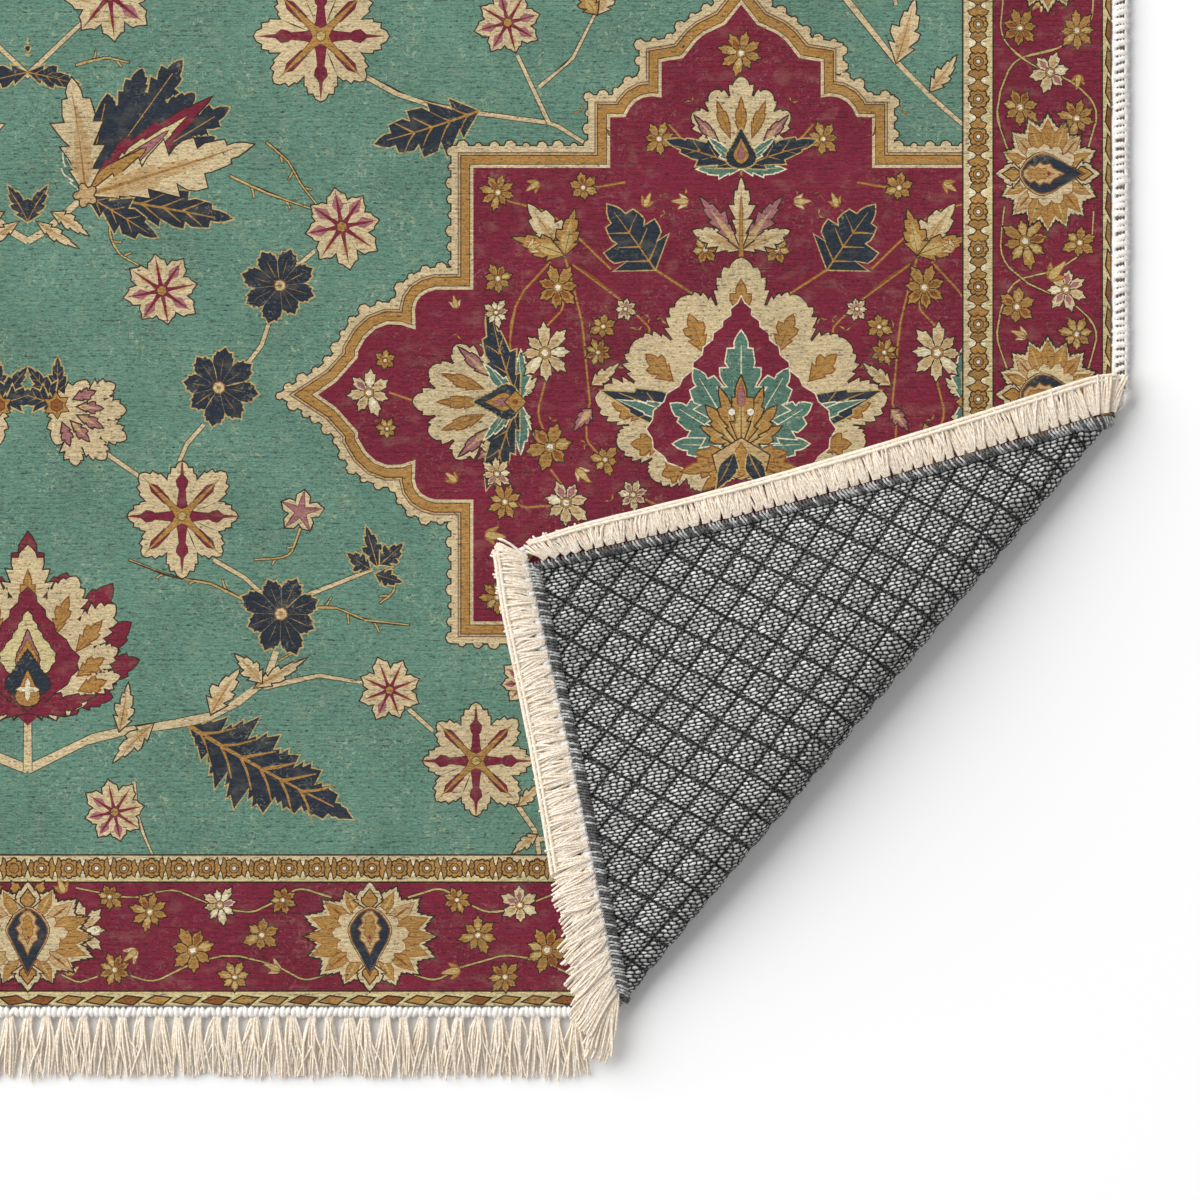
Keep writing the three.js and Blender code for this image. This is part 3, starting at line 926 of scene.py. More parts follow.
def great_palmette(root, heading, size, seed):
    ink(put(lobed(GREAT_BACK, 0.74, 3, 0.07, 0.10, seed), root, size, heading), "burgundy", "brown")
    ink(put(lobed(GREAT_FRONT, 0.74, 4, 0.10, 0.14, seed + 1), root, size, heading), "cream", "brown")
    lobe_leaves(root, heading, size, GREAT_FRONT[1:-1], 0.56, 0.84, 0.09, "ember")
    ahead = away(root, heading, size) - root
    for row in GREAT_SHIELDS:
        shape = between(ogee(row.profile, 0.035), root + ahead * row.start, root + ahead * row.reach,
                        size * row.breadth)
        ink(shape, row.colour, row.edge, 0.5)
    for sign in (1, -1):
        far = away(root, heading + sign * 80, size * 0.42)
        leaf(root - ahead * 0.02, far, size * 0.13, "burgundy", teeth=4, bend=-0.1 * sign)
    seat = root + ahead * 0.12
    ink(put(petals(4, [(-0.5, 0.3), (-0.2, 0.7)]), seat, size * 0.07, heading), "pale", "rust", 0.3)


print("lobes of the great palmette:", len(GREAT_BACK), "behind and", len(GREAT_FRONT), "in front")

# %% [markdown]
# ## The palmettes of the medallions
# A medallion's middle holds a crown with a green fan in its heart. Half flowers between
# dark horned leaves close its four ends, and small three-bladed sprouts stand above and
# below the crown.

# %% Crown, lotus and sprout
CROWN_FRONT = even_lobes([
    (0, 1.01), (21.3, 0.86), (45.5, 0.80), (71, 0.82), (88, 0.66), (109, 0.50), (138, 0.31),
])
CROWN_FAN = [
    Blade(84, 0.36, 0.17, "teal", 4, 0.1, True), Blade(58, 0.44, 0.22, "teal", 5, 0.0, True),
    Blade(31, 0.49, 0.22, "teal", 5, 0.0, True), Blade(0, 0.62, 0.26, "teal", 6, 0.0, False),
]
CROWN_PETALS = [
    Blade(62, 0.24, 0.10, "gold", 3, 0.0, True), Blade(40, 0.29, 0.10, "gold", 3, 0.0, True),
    Blade(20, 0.34, 0.10, "gold", 3, 0.0, True), Blade(0, 0.38, 0.12, "gold", 3, 0.0, False),
]
CROWN_SKIRT = [(112, 0.34, 0.10), (138, 0.30, 0.09), (96, 0.24, 0.08)]
CROWN_ROOF = [-0.12 - 0.13j, -0.04 - 0.15j, 0.05 + 0j, -0.04 + 0.15j, -0.12 + 0.13j, -0.17 + 0j]
CROWN_ROOF_HEART = [-0.1 - 0.09j, 0.02 + 0j, -0.1 + 0.09j, -0.15 + 0j]
LOTUS_FRONT = even_lobes([(0, 1.05), (20, 0.94), (42, 0.84), (62, 0.55)])
LOTUS_LEAVES = [(-42, "rose"), (42, "rose"), (-20, "ember"), (20, "ember"), (0, "ember")]
LOTUS_HORNS = [
    # turn, reach, breadth, colouring, bend
    (96, 0.50, 0.18, "teal", 0.2), (64, 0.92, 0.34, "navy", -0.26), (44, 0.50, 0.14, "teal", -0.2),
]
LOTUS_HEARTS = [
    # outline, start, end, breadth, colour, edge, width of the edge
    (ogee(OGEE_ROUND, 0.03), 0.0, 0.46, 0.36, "navy", "straw", 0.5),
    (ogee(OGEE_SLIM), 0.05, 0.34, 0.18, "gold", "brown", 0.4),
    (ogee(OGEE_SLIM), 0.1, 0.26, 0.08, "rose", "rust", 0.3),
]
SPROUT_BLADES = [
    Blade(64, 0.72, 0.34, "cream", 5, 0.16, True), Blade(36, 0.92, 0.24, "rose", 5, 0.12, True),
    Blade(0, 1.0, 0.32, "cream", 5, 0.0, False),
]


def crown(root, heading, size, seed):
    """The large palmette in a medallion's middle, with a green fan in its heart."""
    ink(put(lobed(CROWN_FRONT, 0.82, 4, 0.09, 0.18, seed), root, size, heading), "cream", "brown")
    lobe_leaves(root, heading, size, CROWN_FRONT, 0.64, 0.88, 0.11, "ember")
    ahead = away(root, heading, size) - root
    for sign in (1, -1):
        for look, reach, breadth in (("navy", 0.80, 0.26), ("teal", 0.70, 0.13)):
            far = away(root, heading + sign * 70, size * reach)
            leaf(root + ahead * 0.08, far, size * breadth, look, teeth=4, bite=0.2, bend=-0.12 * sign)
    heart = between(ogee(OGEE_ROUND, 0.022), root - ahead * 0.16, root + ahead * 0.80, size * 1.02)
    ink(heart, "burgundy", "pale", 0.5)
    fan(root, heading, size, CROWN_FAN, seed + 30)
    fan(root, heading, size, CROWN_PETALS, seed + 40)
    ink(between(drop(1.0, 0.5), root + ahead * 0.22, root + ahead * 0.34, size * 0.08), "rose", "rust", 0.4)
    for side in (1, -1):
        ink(put(ring_of(0.02, 6), root + ahead * complex(0.19, side * 0.05), size), "white", "rust", 0.3)
    for side in (1, -1):
        for turn, reach, breadth in CROWN_SKIRT:
            far = away(root, heading + side * turn, size * reach)
            leaf(root - ahead * 0.05, far, size * breadth, "ember", teeth=3, fullest=0.65)
    ink(put(CROWN_ROOF, root, size, heading), "tan", "brown")
    ink(put(CROWN_ROOF_HEART, root, size, heading), "gold", "rust", 0.4)


def lotus(root, heading, size, seed):
    """A half flower between two dark horned leaves."""
    ink(put(lobed(LOTUS_FRONT, 0.84, 2, 0.12, 0.14, seed), root, size, heading), "cream", "brown")
    for turn, look in LOTUS_LEAVES:
        ahead = away(0j, heading + turn, size)
        leaf(root + ahead * 0.38, root + ahead * 0.80, size * 0.12, look, teeth=3, bite=0.3, fullest=0.5)
    for sign in (1, -1):
        for turn, reach, breadth, look, bend in LOTUS_HORNS:
            far = away(root, heading + sign * turn, size * reach)
            leaf(root, far, size * breadth, look, 4, 0.35, -bend * sign, 0.5, seed)
    ahead = away(root, heading, size) - root
    for outline, start, end, breadth, colour, edge, edge_width in LOTUS_HEARTS:
        shape = between(outline, root + ahead * start, root + ahead * end, size * breadth)
        ink(shape, colour, edge, edge_width)


def side_lotus(root, heading, size, seed):
    lotus(root, heading, size, seed)
    seat = root + away(0j, heading, 1.0) * 1.5
    ink(put([1, 1j, -1, -1j], seat, 4.4, heading), "gold", "brown", 0.4)
    ink(put(ring_of(1.0, 6), seat, 1.3), "rust")


def sprout(root, heading, size, seed):
    fan(root, heading, size, SPROUT_BLADES, seed)
    ahead = away(0j, heading, size)
    ink(ribbon([root - ahead * 0.12, root + ahead * 0.7], 1.6, 0.5), "gold", "rust", 0.3)


print("blades in the crown's fan:", sum(2 if blade.twin else 1 for blade in CROWN_FAN))

# %% [markdown]
# ## The border's palmette
# The border repeats one jagged oval palmette. Flames stand round it in changing tones,
# a dark drop lies along its middle, and a small leaf grows out of each end.

# %% Border palmette
BORDER_LOBES = 16
BORDER_TOOTH = [(-0.5, 0.80), (-0.36, 0.86), (-0.30, 0.84), (-0.17, 0.93), (-0.13, 0.91)]
BORDER_INNER = [(-0.5, 0.80), (-0.3, 0.93), (-0.15, 0.95)]
FLAME_PROFILE = [
    # distance from the middle, and half width as a share of the flame's
    (0.36, 0.0), (0.52, 0.8), (0.70, 1.0), (0.78, 0.7),
    (0.93, 0.0), (0.78, -0.7), (0.70, -1.0), (0.52, -0.8),
]
FLAME_VEIN = [0.44, 0.66 - 0.022j, 0.86, 0.66 + 0.022j]
DROP_PROFILE = [
    (0, 0.08), (0.16, 0.26), (0.28, 0.2), (0.40, 0.36), (0.5, 0.26), (0.66, 0.3), (0.74, 0.16), (1, 0),
]
GEM = [0.9, 0.9j, -0.9, -0.9j]


def border_palmette(at, heading, along, across, seed):
    """A jagged oval palmette round a dark drop that points along its heading."""
    roll = random.Random(seed)
    outer = petals(BORDER_LOBES, BORDER_TOOTH, 0.10, seed)
    ink(stretched(outer, at, heading, along, across), "cream", "brown", 0.7)
    for k in range(BORDER_LOBES):
        turn = 360 * k / BORDER_LOBES
        fat = abs(math.sin(math.radians(turn)))
        wide = 0.05 + 0.09 * fat
        flame = [complex(far, -wide * share) for far, share in FLAME_PROFILE]
        tone = "gold" if k % 2 or fat > 0.9 else roll.choice(("tan", "amber", "gold"))
        ink(stretched(put(flame, 0, 1.0, turn), at, heading, along, across), tone, "rust", 0.25)
        vein = stretched(put(FLAME_VEIN, 0, 1.0, turn), at, heading, along, across)
        ink(vein, "straw" if k % 2 else "rust")
    inner = petals(11, BORDER_INNER, 0.16, seed)
    ink(stretched(inner, at, heading, along * 0.58, across * 0.56), "cream", "rust", 0.35)
    ahead = away(0j, heading, 1.0)
    for side in (1, -1):
        reach = ahead * along * side
        tip = at + reach
        leaf(at + reach * 0.5, tip + ahead * side, across * 0.42, "cream", 3, 0.2, veins=False)
        leaf(at + reach * 0.55, tip - ahead * side * 2, across * 0.24, "gold", 2, 0.1, veins=False)
    start, end = at - ahead * along * 0.52, at + ahead * along * 0.70
    ink(between(ogee(OGEE_SLIM), start - ahead, end + ahead, 18.5), "tan", "brown", 0.3)
    ink(between(ogee(OGEE_SLIM), start, end, 16.5), "navy", "rust", 0.5)
    half = [complex(*p) for p in DROP_PROFILE]
    outline = [p.conjugate() for p in half] + half[-2::-1]
    ink(between(outline, start + ahead * 0.8, end - ahead * 8, 13.0), "tan", "rust", 0.5)
    ink(between(outline, start + ahead * 2.5, end - ahead * 12, 7.0), "gold", "rust", 0.3)
    ink(put(GEM, start + (end - start) * 0.44, 1.0), "burgundy")

# %% [markdown]
# ## Laying out the field
# One quarter of the rug is laid out, in millimetres from the middle line and up from
# the near end of the cloth's binding, and the other three quarters are its mirror
# images. The tables have one row for each flower.

# %% The open field
Flower = namedtuple("Flower", "kind x up radius seed")


def flowers(rows):
    """A table of flowers from rows of kind, x, height, radius and seed."""
    return [Flower(*row) for row in rows]


FIELD_FLOWERS = flowers([
    ("small", 34, 424, 18.5, 1), ("large", 121.5, 407, 26.5, 2), ("small", 55.6, 301.5, 15.5, 3),
    ("small", 130.2, 328, 16.5, 4), ("navy", 104.5, 303.6, 15, 5), ("navy", 79.2, 261.3, 15.8, 6),
    ("small", 199, 412.6, 14, 7), ("large", 64, 208, 24, 8), ("navy", 105, 167.5, 16.6, 9),
    ("bud", 113.2, 209.8, 9, 10), ("small", 150, 136, 13, 11), ("large", 185.8, 106.6, 23.6, 12),
    ("small", 36, 85.4, 13, 13), ("small", 206, 139, 10, 14), ("small", 268, 96, 15, 15),
    ("navy", 322, 104, 15, 16), ("large", 352, 170, 20, 17), ("large", 250, 470, 25, 18),
    ("navy", 205, 452, 15, 19), ("small", 150, 470, 16, 20), ("small", 322, 446, 15, 21),
    ("large", 350, 560, 26, 22), ("navy", 318, 520, 15, 23), ("small", 262, 640, 16, 24),
    ("large", 232, 575, 24, 25), ("navy", 60, 500, 16, 26), ("small", 22, 540, 15, 27),
    ("small", 360, 690, 15, 28), ("navy", 338, 640, 15, 29), ("large", 300, 742, 22, 30),
    ("small", 180, 560, 14, 31),
])
FLOWER_MAKERS = {"large": large_rosette, "small": small_rosette, "navy": navy_rosette}


def plant(flower, shift=0j):
    at = complex(flower.x, flower.up) + shift
    if flower.kind in FLOWER_MAKERS:
        FLOWER_MAKERS[flower.kind](at, flower.radius, flower.seed)
    elif flower.kind == "bud":
        ink(put(petals(5, PETAL_POINTED, 0.2, flower.seed), at, flower.radius, 80), "cream", "brown")
        ink(put(petals(5, [(-0.5, 0.25), (-0.2, 0.5)]), at, flower.radius, 80), "rose", "brown", 0.25)
    elif flower.kind == "sprig":
        sprig(at, flower.seed * 37 % 360, flower.radius, "gold" if flower.seed % 2 else "cream", flower.seed)
    else:
        blossom(at, flower.radius, flower.seed, flower.kind, 6 + flower.seed % 3)


FIELD_STEMS = [
    # points of each stem, in millimetres, and its widths at both ends
    ([(-12, 378), (4, 395), (24, 414)], 2.4, 1.6),
    ([(0, 322), (6, 325.5), (15, 333), (26, 343)], 2.8, 2.6),
    ([(0, 103), (15, 110.5), (32, 117.5), (67, 122.8), (84, 129), (98, 140), (103, 152)], 3.6, 2.6),
    ([(98, 137), (121, 142), (139, 139)], 1.8, 1.2), ([(158, 128), (168, 119)], 1.8, 1.4),
    ([(200, 92), (210, 78), (212, 67)], 1.8, 1.8), ([(112, 312), (119, 318)], 1.6, 1.6),
    ([(101, 292), (97, 279), (90, 270)], 1.6, 1.6), ([(73, 246), (66, 238), (63, 231)], 1.6, 1.6),
    ([(77, 190), (88, 184), (97, 176)], 1.6, 1.6),
    ([(135, 393), (158, 381), (187, 375), (216, 371), (232, 362)], 2.0, 1.4),
    ([(216, 371), (209, 386), (203, 399)], 1.6, 1.4), ([(212, 386), (226, 398), (236, 418)], 1.6, 1.0),
    ([(115, 175), (128, 180), (143, 186)], 1.8, 1.4), ([(0, 128), (0, 116), (0, 102.5)], 3.0, 3.4),
    ([(44, 98), (46, 82), (52, 67)], 1.4, 0.8), ([(20, 243), (34, 233), (50, 222)], 2.0, 1.4),
    ([(338, 424), (356, 401), (372, 384), (388, 370)], 2.6, 1.6),
    ([(212, 74), (240, 80), (268, 96), (300, 92), (322, 104)], 2.0, 1.4),
    ([(322, 118), (338, 140), (352, 152)], 1.8, 1.4), ([(34, 442), (44, 470), (60, 486)], 2.0, 1.6),
    ([(60, 516), (40, 530), (22, 540)], 1.8, 1.4),
    ([(121, 432), (134, 452), (150, 470), (180, 462), (205, 452), (228, 460)], 2.2, 1.6),
    ([(262, 448), (290, 440), (322, 446), (352, 436), (360, 420)], 2.2, 1.4),
    ([(258, 492), (285, 505), (318, 520), (336, 540)], 2.4, 1.6),
    ([(244, 494), (240, 530), (235, 552)], 2.0, 1.6),
    ([(236, 598), (250, 620), (262, 640), (262, 680), (280, 720)], 2.2, 1.6),
    ([(350, 586), (342, 610), (338, 640), (350, 664), (360, 690), (330, 720), (318, 732)], 2.2, 1.6),
    ([(210, 570), (180, 560)], 1.6, 1.6),
]
FIELD_TWIGS = [
    [(37, 337), (34, 326), (38, 317), (46, 312)], [(84, 349), (99, 342), (119, 335)],
    [(99, 363), (108, 355), (113, 346), (120, 337)], [(113, 203), (108, 192), (94, 190)],
    [(92, 172), (76, 180), (60, 183), (42, 190)], [(116, 170), (128, 170), (140, 165), (158, 163)],
    [(150, 190), (152, 178), (146, 172)], [(20, 395), (32, 398), (42, 396)],
    [(105, 163), (112, 154), (104, 148)], [(340, 200), (350, 226), (344, 244)],
    [(60, 470), (84, 476), (100, 470)], [(180, 548), (172, 536), (176, 520)],
    [(300, 560), (288, 548), (292, 530)], [(360, 706), (372, 720), (368, 740)],
]
FIELD_LEAVES = [
    # start, end, breadth, colouring and bend of each leaf that stands on a stem
    ((38, 119), (44, 138), 8, "cream", 0.3), ((76, 126), (85, 146), 10, "cream", -0.3),
    ((52, 122), (34, 108), 8, "cream", 0.3), ((94, 137), (116, 148), 6, "cream", 0.2),
    ((97, 139), (88, 152), 8, "cream", 0.3), ((0, 330), (6, 346), 8, "navy", -0.3),
    ((10, 334), (26, 326), 6, "cream", -0.3), ((4, 330), (20, 318), 5, "cream", 0.3),
    ((-4, 396), (-2, 410), 9, "navy", 0.1), ((0, 392), (22, 388), 9, "navy", -0.1),
    ((360, 396), (369, 422), 12, "cream", 0.1), ((374, 384), (386, 398), 7, "cream", 0.2),
    ((203, 88), (214, 96), 5, "cream", 0.4), ((211, 76), (200, 70), 5, "cream", 0.4),
    ((145, 187), (141, 204), 8, "navy", 0.1), ((146, 188), (156, 196), 9, "navy", 0.1),
    ((142, 186), (132, 192), 8, "navy", -0.1), ((144, 184), (155, 180), 7, "navy", 0.1),
    ((236, 416), (242, 430), 10, "cream", 0.1), ((236, 416), (228, 428), 8, "gold", 0.1),
    ((287, 92), (300, 78), 9, "cream", 0.2), ((330, 128), (350, 118), 10, "navy", 0.1),
    ((44, 468), (28, 480), 10, "navy", 0.1), ((280, 503), (300, 486), 14, "navy", 0.1),
    ((242, 520), (262, 534), 10, "cream", 0.1), ((262, 690), (236, 704), 22, "navy", 0.1),
    ((340, 655), (318, 668), 12, "cream", 0.1),
    ((170, 466), (176, 490), 12, "navy", 0.1), ((300, 441), (296, 424), 10, "cream", 0.2),
]


def field_leaves():
    """The leaves on the field's stems; two large dark ones have more teeth."""
    leaf(complex(67, 121), complex(133, 79.5), 35, "navy", 7, 0.5, 0.10, 0.4, 2)
    leaf(complex(187, 376), complex(144.5, 360), 23, "navy", 5, 0.42, -0.1, 0.45, 5)
    for start, end, breadth, look, bend in FIELD_LEAVES:
        leaf(complex(*start), complex(*end), breadth, look, teeth=4, bite=0.42, bend=bend)


def open_field():
    for stem in FIELD_STEMS:
        vine(*stem)
    for number, points in enumerate(FIELD_TWIGS):
        twig(points, number)
    field_leaves()
    spray(complex(24, 341), 38, 72, 1)
    sheaf(complex(12, 254), -26, 32, 4)
    spray(complex(320, 600), 128, 70, 3)
    for flower in FIELD_FLOWERS:
        plant(flower)


print("in the field:", len(FIELD_FLOWERS), "flowers and", len(FIELD_STEMS), "stems")

# %% [markdown]
# ## The medallions
# A medallion has a stepped, scalloped outline. Only one quarter of its inner line is
# listed, because it is the same on all four sides. Its bands are that line grown by
# several widths and painted from the outside in.

# %% The medallion's outline and bands
Step = namedtuple("Step", "x up bow")
MEDALLION_QUARTER = [
    # the inner line from the left tip up to the top, and how far each stretch bows
    Step(-175.4, 0, -0.06), Step(-158.8, 15.5, 0), Step(-158.8, 18, 0.25), Step(-135, 27, 0),
    Step(-135, 31.5, 0.25), Step(-126.5, 43.5, 0), Step(-111, 43.5, 0), Step(-111, 94, 0),
    Step(-54.3, 94, 0), Step(-54.3, 115, 0), Step(-48, 115, 0.22), Step(-33, 123.2, 0),
    Step(-33, 138, 0), Step(-24, 139.5, 0.1), Step(-6.6, 153.4, 0), Step(0, 161.7, 0),
]
KNOB_WIDTH = 9.0
KNOB_EDGE_WIDTH = 9.6
MEDALLION_BANDS = [
    # how far each band reaches out of the inner line, and its colour
    (KNOB_EDGE_WIDTH, "brown"), (KNOB_WIDTH, "cream"), (6.5, "plum"), (6.1, "tan"), (5.4, "brown"),
    (5.0, "gold"), (1.6, "brown"), (1.3, "cream"), (0.0, "burgundy"),
]
SCALLOP_PITCH = 6.6


def medallion_line():
    quarter = []
    for step, after in zip(MEDALLION_QUARTER, MEDALLION_QUARTER[1:]):
        start, end = complex(step.x, step.up), complex(after.x, after.up)
        quarter.extend(bowed(start, end, step.bow) if step.bow else [start])
    top = complex(0, MEDALLION_QUARTER[-1].up)
    upper = quarter + [top] + [complex(-p.real, p.imag) for p in quarter[::-1]]
    return upper + [p.conjugate() for p in upper[-2:0:-1]]


def spaced(outline, pitch):
    """Points along a closed outline at an even pitch."""
    left = 0.0
    for start, end in zip(outline, outline[1:] + outline[:1]):
        length = abs(end - start)
        while left < length:
            yield start + (end - start) * left / length
            left += pitch
        left -= length


def medallion_bands():
    """The bands from the outside in; small knobs along the two outermost scallop the rim."""
    line = medallion_line()
    lines = {width: grown(line, width) if width else line for width, colour in MEDALLION_BANDS}
    places = spaced(lines[KNOB_WIDTH], SCALLOP_PITCH)
    knobs = [(place, 1.9 + 0.6 * math.sin(k * 2.1)) for k, place in enumerate(places)]
    for width, colour in MEDALLION_BANDS:
        if width in (KNOB_EDGE_WIDTH, KNOB_WIDTH):
            more = 0.6 if width == KNOB_EDGE_WIDTH else 0.0
            for place, radius in knobs:
                ink(put(ring_of(radius + more, 7), place), colour)
        ink(lines[width], colour)


print("corners of the medallion's inner line:", len(medallion_line()))

# %% [markdown]
# ## What grows inside a medallion
# Thin gold stems with many small flowers fill the burgundy ground round the crown. Only
# the left half is listed. It is drawn once and then printed again as its mirror image.

# %% What grows inside a medallion
STEM_SHARE = 0.52
SPECKS = 46
MEDALLION_STEMS = [
    ([(-73, 57), (-66, 30), (-64, 8), (-62.6, -4)], 1.1, 1.1),
    ([(-90, -4), (-110, -6), (-130, -4), (-146, 1)], 1.3, 1.0),
    ([(-36, 52), (-26, 46), (-19, 41)], 1.4, 1.2),
    ([(-70, 54), (-58, 46), (-40, 30), (-38, 25)], 1.0, 1.0),
    ([(-79, 55), (-92, 40), (-96, 22), (-92, 6)], 1.0, 1.0),
    ([(-81, 28), (-74, 36), (-76, 44)], 1.0, 1.0), ([(-81, 6), (-84, -8), (-79, -21)], 1.0, 1.0),
    ([(-79, -31), (-74, -38), (-72, -45), (-60, -60), (-30, -66), (0, -62)], 1.0, 1.0),
    ([(-76, -46), (-92, -46), (-102, -36), (-104, -22), (-96, -8)], 1.0, 1.0),
    ([(-44, -41), (-30, -48), (-16, -48), (-4, -42)], 1.0, 1.0),
    ([(0, 60), (0, 76), (0, 96)], 1.3, 1.3), ([(-15, 60), (-8, 66), (0, 66)], 1.0, 1.0),
    ([(-54, 52), (-78, 74), (-96, 80), (-101, 84)], 1.0, 1.0),
    ([(-48, 88), (-60, 86), (-66, 86)], 1.0, 1.0), ([(-57, -27), (-64, -18), (-63, -4)], 1.0, 1.0),
    ([(-30, 112), (-22, 104), (-8, 98)], 1.0, 1.0), ([(-26, -88), (-14, -78), (0, -66)], 1.2, 1.0),
]
MEDALLION_FLOWERS = flowers([
    ("gold", -75.9, 44.4, 9.1, 1), ("cream", -81.3, 17.4, 11.2, 2), ("gold", -79.2, -21.6, 10, 3),
    ("cream", -72.6, -44.8, 10, 4), ("gold", -100.8, 83.8, 7, 5), ("gold", -65.5, 85.8, 6, 6),
    ("gold", -100.8, 48.1, 6.5, 7), ("cream", -101.6, 34, 5.6, 8), ("gold", -57.2, 28.2, 5.5, 9),
    ("cream", -48, 35.5, 4.6, 10), ("gold", -59.3, 17.5, 5.5, 11), ("gold", -147.6, 14.2, 4.4, 12),
    ("gold", -146.8, -14.2, 4.4, 13), ("cream", -101.2, -32.8, 6.5, 14), ("gold", -56.4, -27, 6, 15),
    ("cream", -44.8, -41.5, 6.5, 16), ("gold", -97.9, -44.5, 7, 17), ("gold", -14.9, 60.1, 6, 18),
    ("cream", -154.3, 0.8, 9.1, 19), ("gold", -101, -84, 7, 20), ("cream", -70, -76, 9, 21),
    ("gold", -43, -84, 7, 22), ("gold", -20, -57, 6.5, 23), ("gold", -40, -62, 6, 24),
    ("gold", -34, 106, 6.5, 25), ("gold", -30, -108, 7, 26), ("gold", -48, -104, 5, 27),
    ("sprig", -68, -31, 7.5, 28), ("sprig", -106, -58, 8, 29), ("sprig", -88, 60, 6.5, 30),
    ("sprig", -40, 78, 6.5, 31), ("sprig", -118, 36, 5.5, 32), ("sprig", -118, -36, 5.5, 33),
    ("sprig", -22, 80, 6.5, 34), ("sprig", -84, 88, 6, 35), ("sprig", -86, -62, 7, 36),
])
MEDALLION_LEAVES = [
    # start, end, breadth, colouring and bend of each leaf on the left of the middle line
    ((-35.7, 51.8), (-54.3, 79.5), 27, "navy", 0.05), ((-73, 57), (-87, 80), 17, "cream", 0.1),
    ((-73, 58), (-94, 67), 10, "gold", 0.2), ((-73, 58), (-71, 77), 10, "gold", -0.2),
    ((-62, 4), (-50, 12), 6, "cream", 0.2), ((-62, -6), (-70, -14), 6, "rose", 0.2),
    ((-95, 14), (-108, 22), 6, "cream", 0.2), ((-100, -20), (-110, -26), 6, "rose", 0.2),
    ((-14, -90), (-26, -124), 16, "navy", 0.1), ((-55, -62), (-60, -74), 7, "rose", 0.2),
    ((-92, 0), (-84, 6), 6, "cream", 0.2), ((-92, -8), (-86, -14), 6, "cream", -0.2),
]
SPECK_CURL = [0j, 0.5 - 0.22j, 1 + 0.1j, 0.5 + 0.06j]


def both_sides(draw):
    """Runs a drawing and prints it again, mirrored about the middle line."""
    first = len(printed)
    draw()
    for outline, colour in printed[first:]:
        ink([complex(-p.real, p.imag) for p in outline], colour)


def medallion_side():
    for points, start_width, end_width in MEDALLION_STEMS:
        vine(points, start_width * STEM_SHARE, end_width * STEM_SHARE, "gold", "rust")
    for start, end, breadth, look, bend in MEDALLION_LEAVES:
        leaf(complex(*start), complex(*end), breadth, look, teeth=4, bend=bend, fullest=0.36)
    side_lotus(complex(-92, -3), 180, 42, 7)
    for flower in MEDALLION_FLOWERS:
        plant(flower)


def medallion_inside():
    both_sides(medallion_side)
    for sign in (1, -1):
        lotus(complex(0, 94 if sign > 0 else -92), 90 * sign, 36, 3 if sign > 0 else 4)
    for sign in (1, -1):
        blossom(complex(0, 141.5 * sign), 8.6, 5 if sign > 0 else 6, "gold", 8)
    sprout(complex(0, 60), 90, 30, 2)
    sprout(complex(0, -62), -90, 26, 5)
    crown(complex(0, -22), 90, 78, 9)
    for sign in (1, -1):
        leaf(complex(sign * 3, -24), complex(sign * 8, -40), 8, "navy", teeth=3, bite=0.1, bend=0.3 * sign)


def specks(seed):
    """Tiny gold curls strewn over a medallion's ground, under everything that grows on it."""
    roll = random.Random(seed)
    for k in range(SPECKS):
        tall = k % 3
        x = roll.uniform(0, 74 if tall else 132)
        up = roll.uniform(-122, 122) if tall else roll.uniform(-26, 26)
        turn = roll.uniform(0, 360)
        for bend in (0, 110):
            for side in (1, -1):
                heading = turn + bend if side > 0 else 180 - turn - bend
                curl = put(SPECK_CURL, complex(side * x, up), roll.uniform(2.0, 3.4), heading)
                ink(curl, "gold" if k % 4 else "rust", "brown", 0.2)


def medallion(at):
    """A whole medallion, drawn about its own centre and then moved to its place."""
    first = len(printed)
    medallion_bands()
    specks(11)
    medallion_inside()
    printed[first:] = [([p + at for p in outline], colour) for outline, colour in printed[first:]]


print("in half a medallion:", len(MEDALLION_FLOWERS), "flowers and", len(MEDALLION_STEMS), "stems")

# %% [markdown]
# ## The border
# The border is a burgundy band between two pale guard bands. Each band is four mitred
# strips, painted over the field and over the parts of the medallions that reach under
# them. Palmettes stand in a row along the middle, and pairs of thin vines carry flowers
# between them.

# %% Bands
Band = namedtuple("Band", "right low colour")
BANDS = [
    # where each band begins, counted from the field: x on the right, height at the near end
    Band(387.2, 68.0, "brown"), Band(387.9, 67.3, "cream"), Band(390.3, 65.2, "pale"),
    Band(396.9, 59.2, "guard"), Band(399.8, 56.7, "brown"), Band(400.5, 56.0, "burgundy"),
    Band(445.0, 11.6, "brown"), Band(445.7, 10.9, "guard"),
]
BAND_END = Band(CLOTH_X + 4, RUG_Y - CLOTH_Y - 4, "")


def border_bands():
    for band, after in zip(BANDS, BANDS[1:] + [BAND_END]):
        inner = rectangle(-band.right, band.low, band.right, 2 * RUG_Y - band.low)
        outer = rectangle(-after.right, after.low, after.right, 2 * RUG_Y - after.low)
        for k in range(4):
            ink([inner[k], outer[k], outer[(k + 1) % 4], inner[(k + 1) % 4]], band.colour)


print("bands:", [band.colour for band in BANDS])

# %% [markdown]
# ## Guard chains
# The inner guard is a chain of round flowers with two-winged links between them. The
# outer guard is a row of leaning lenses. Both run at an even pitch that is fitted to
# their length, so that no flower is cut at the corner.

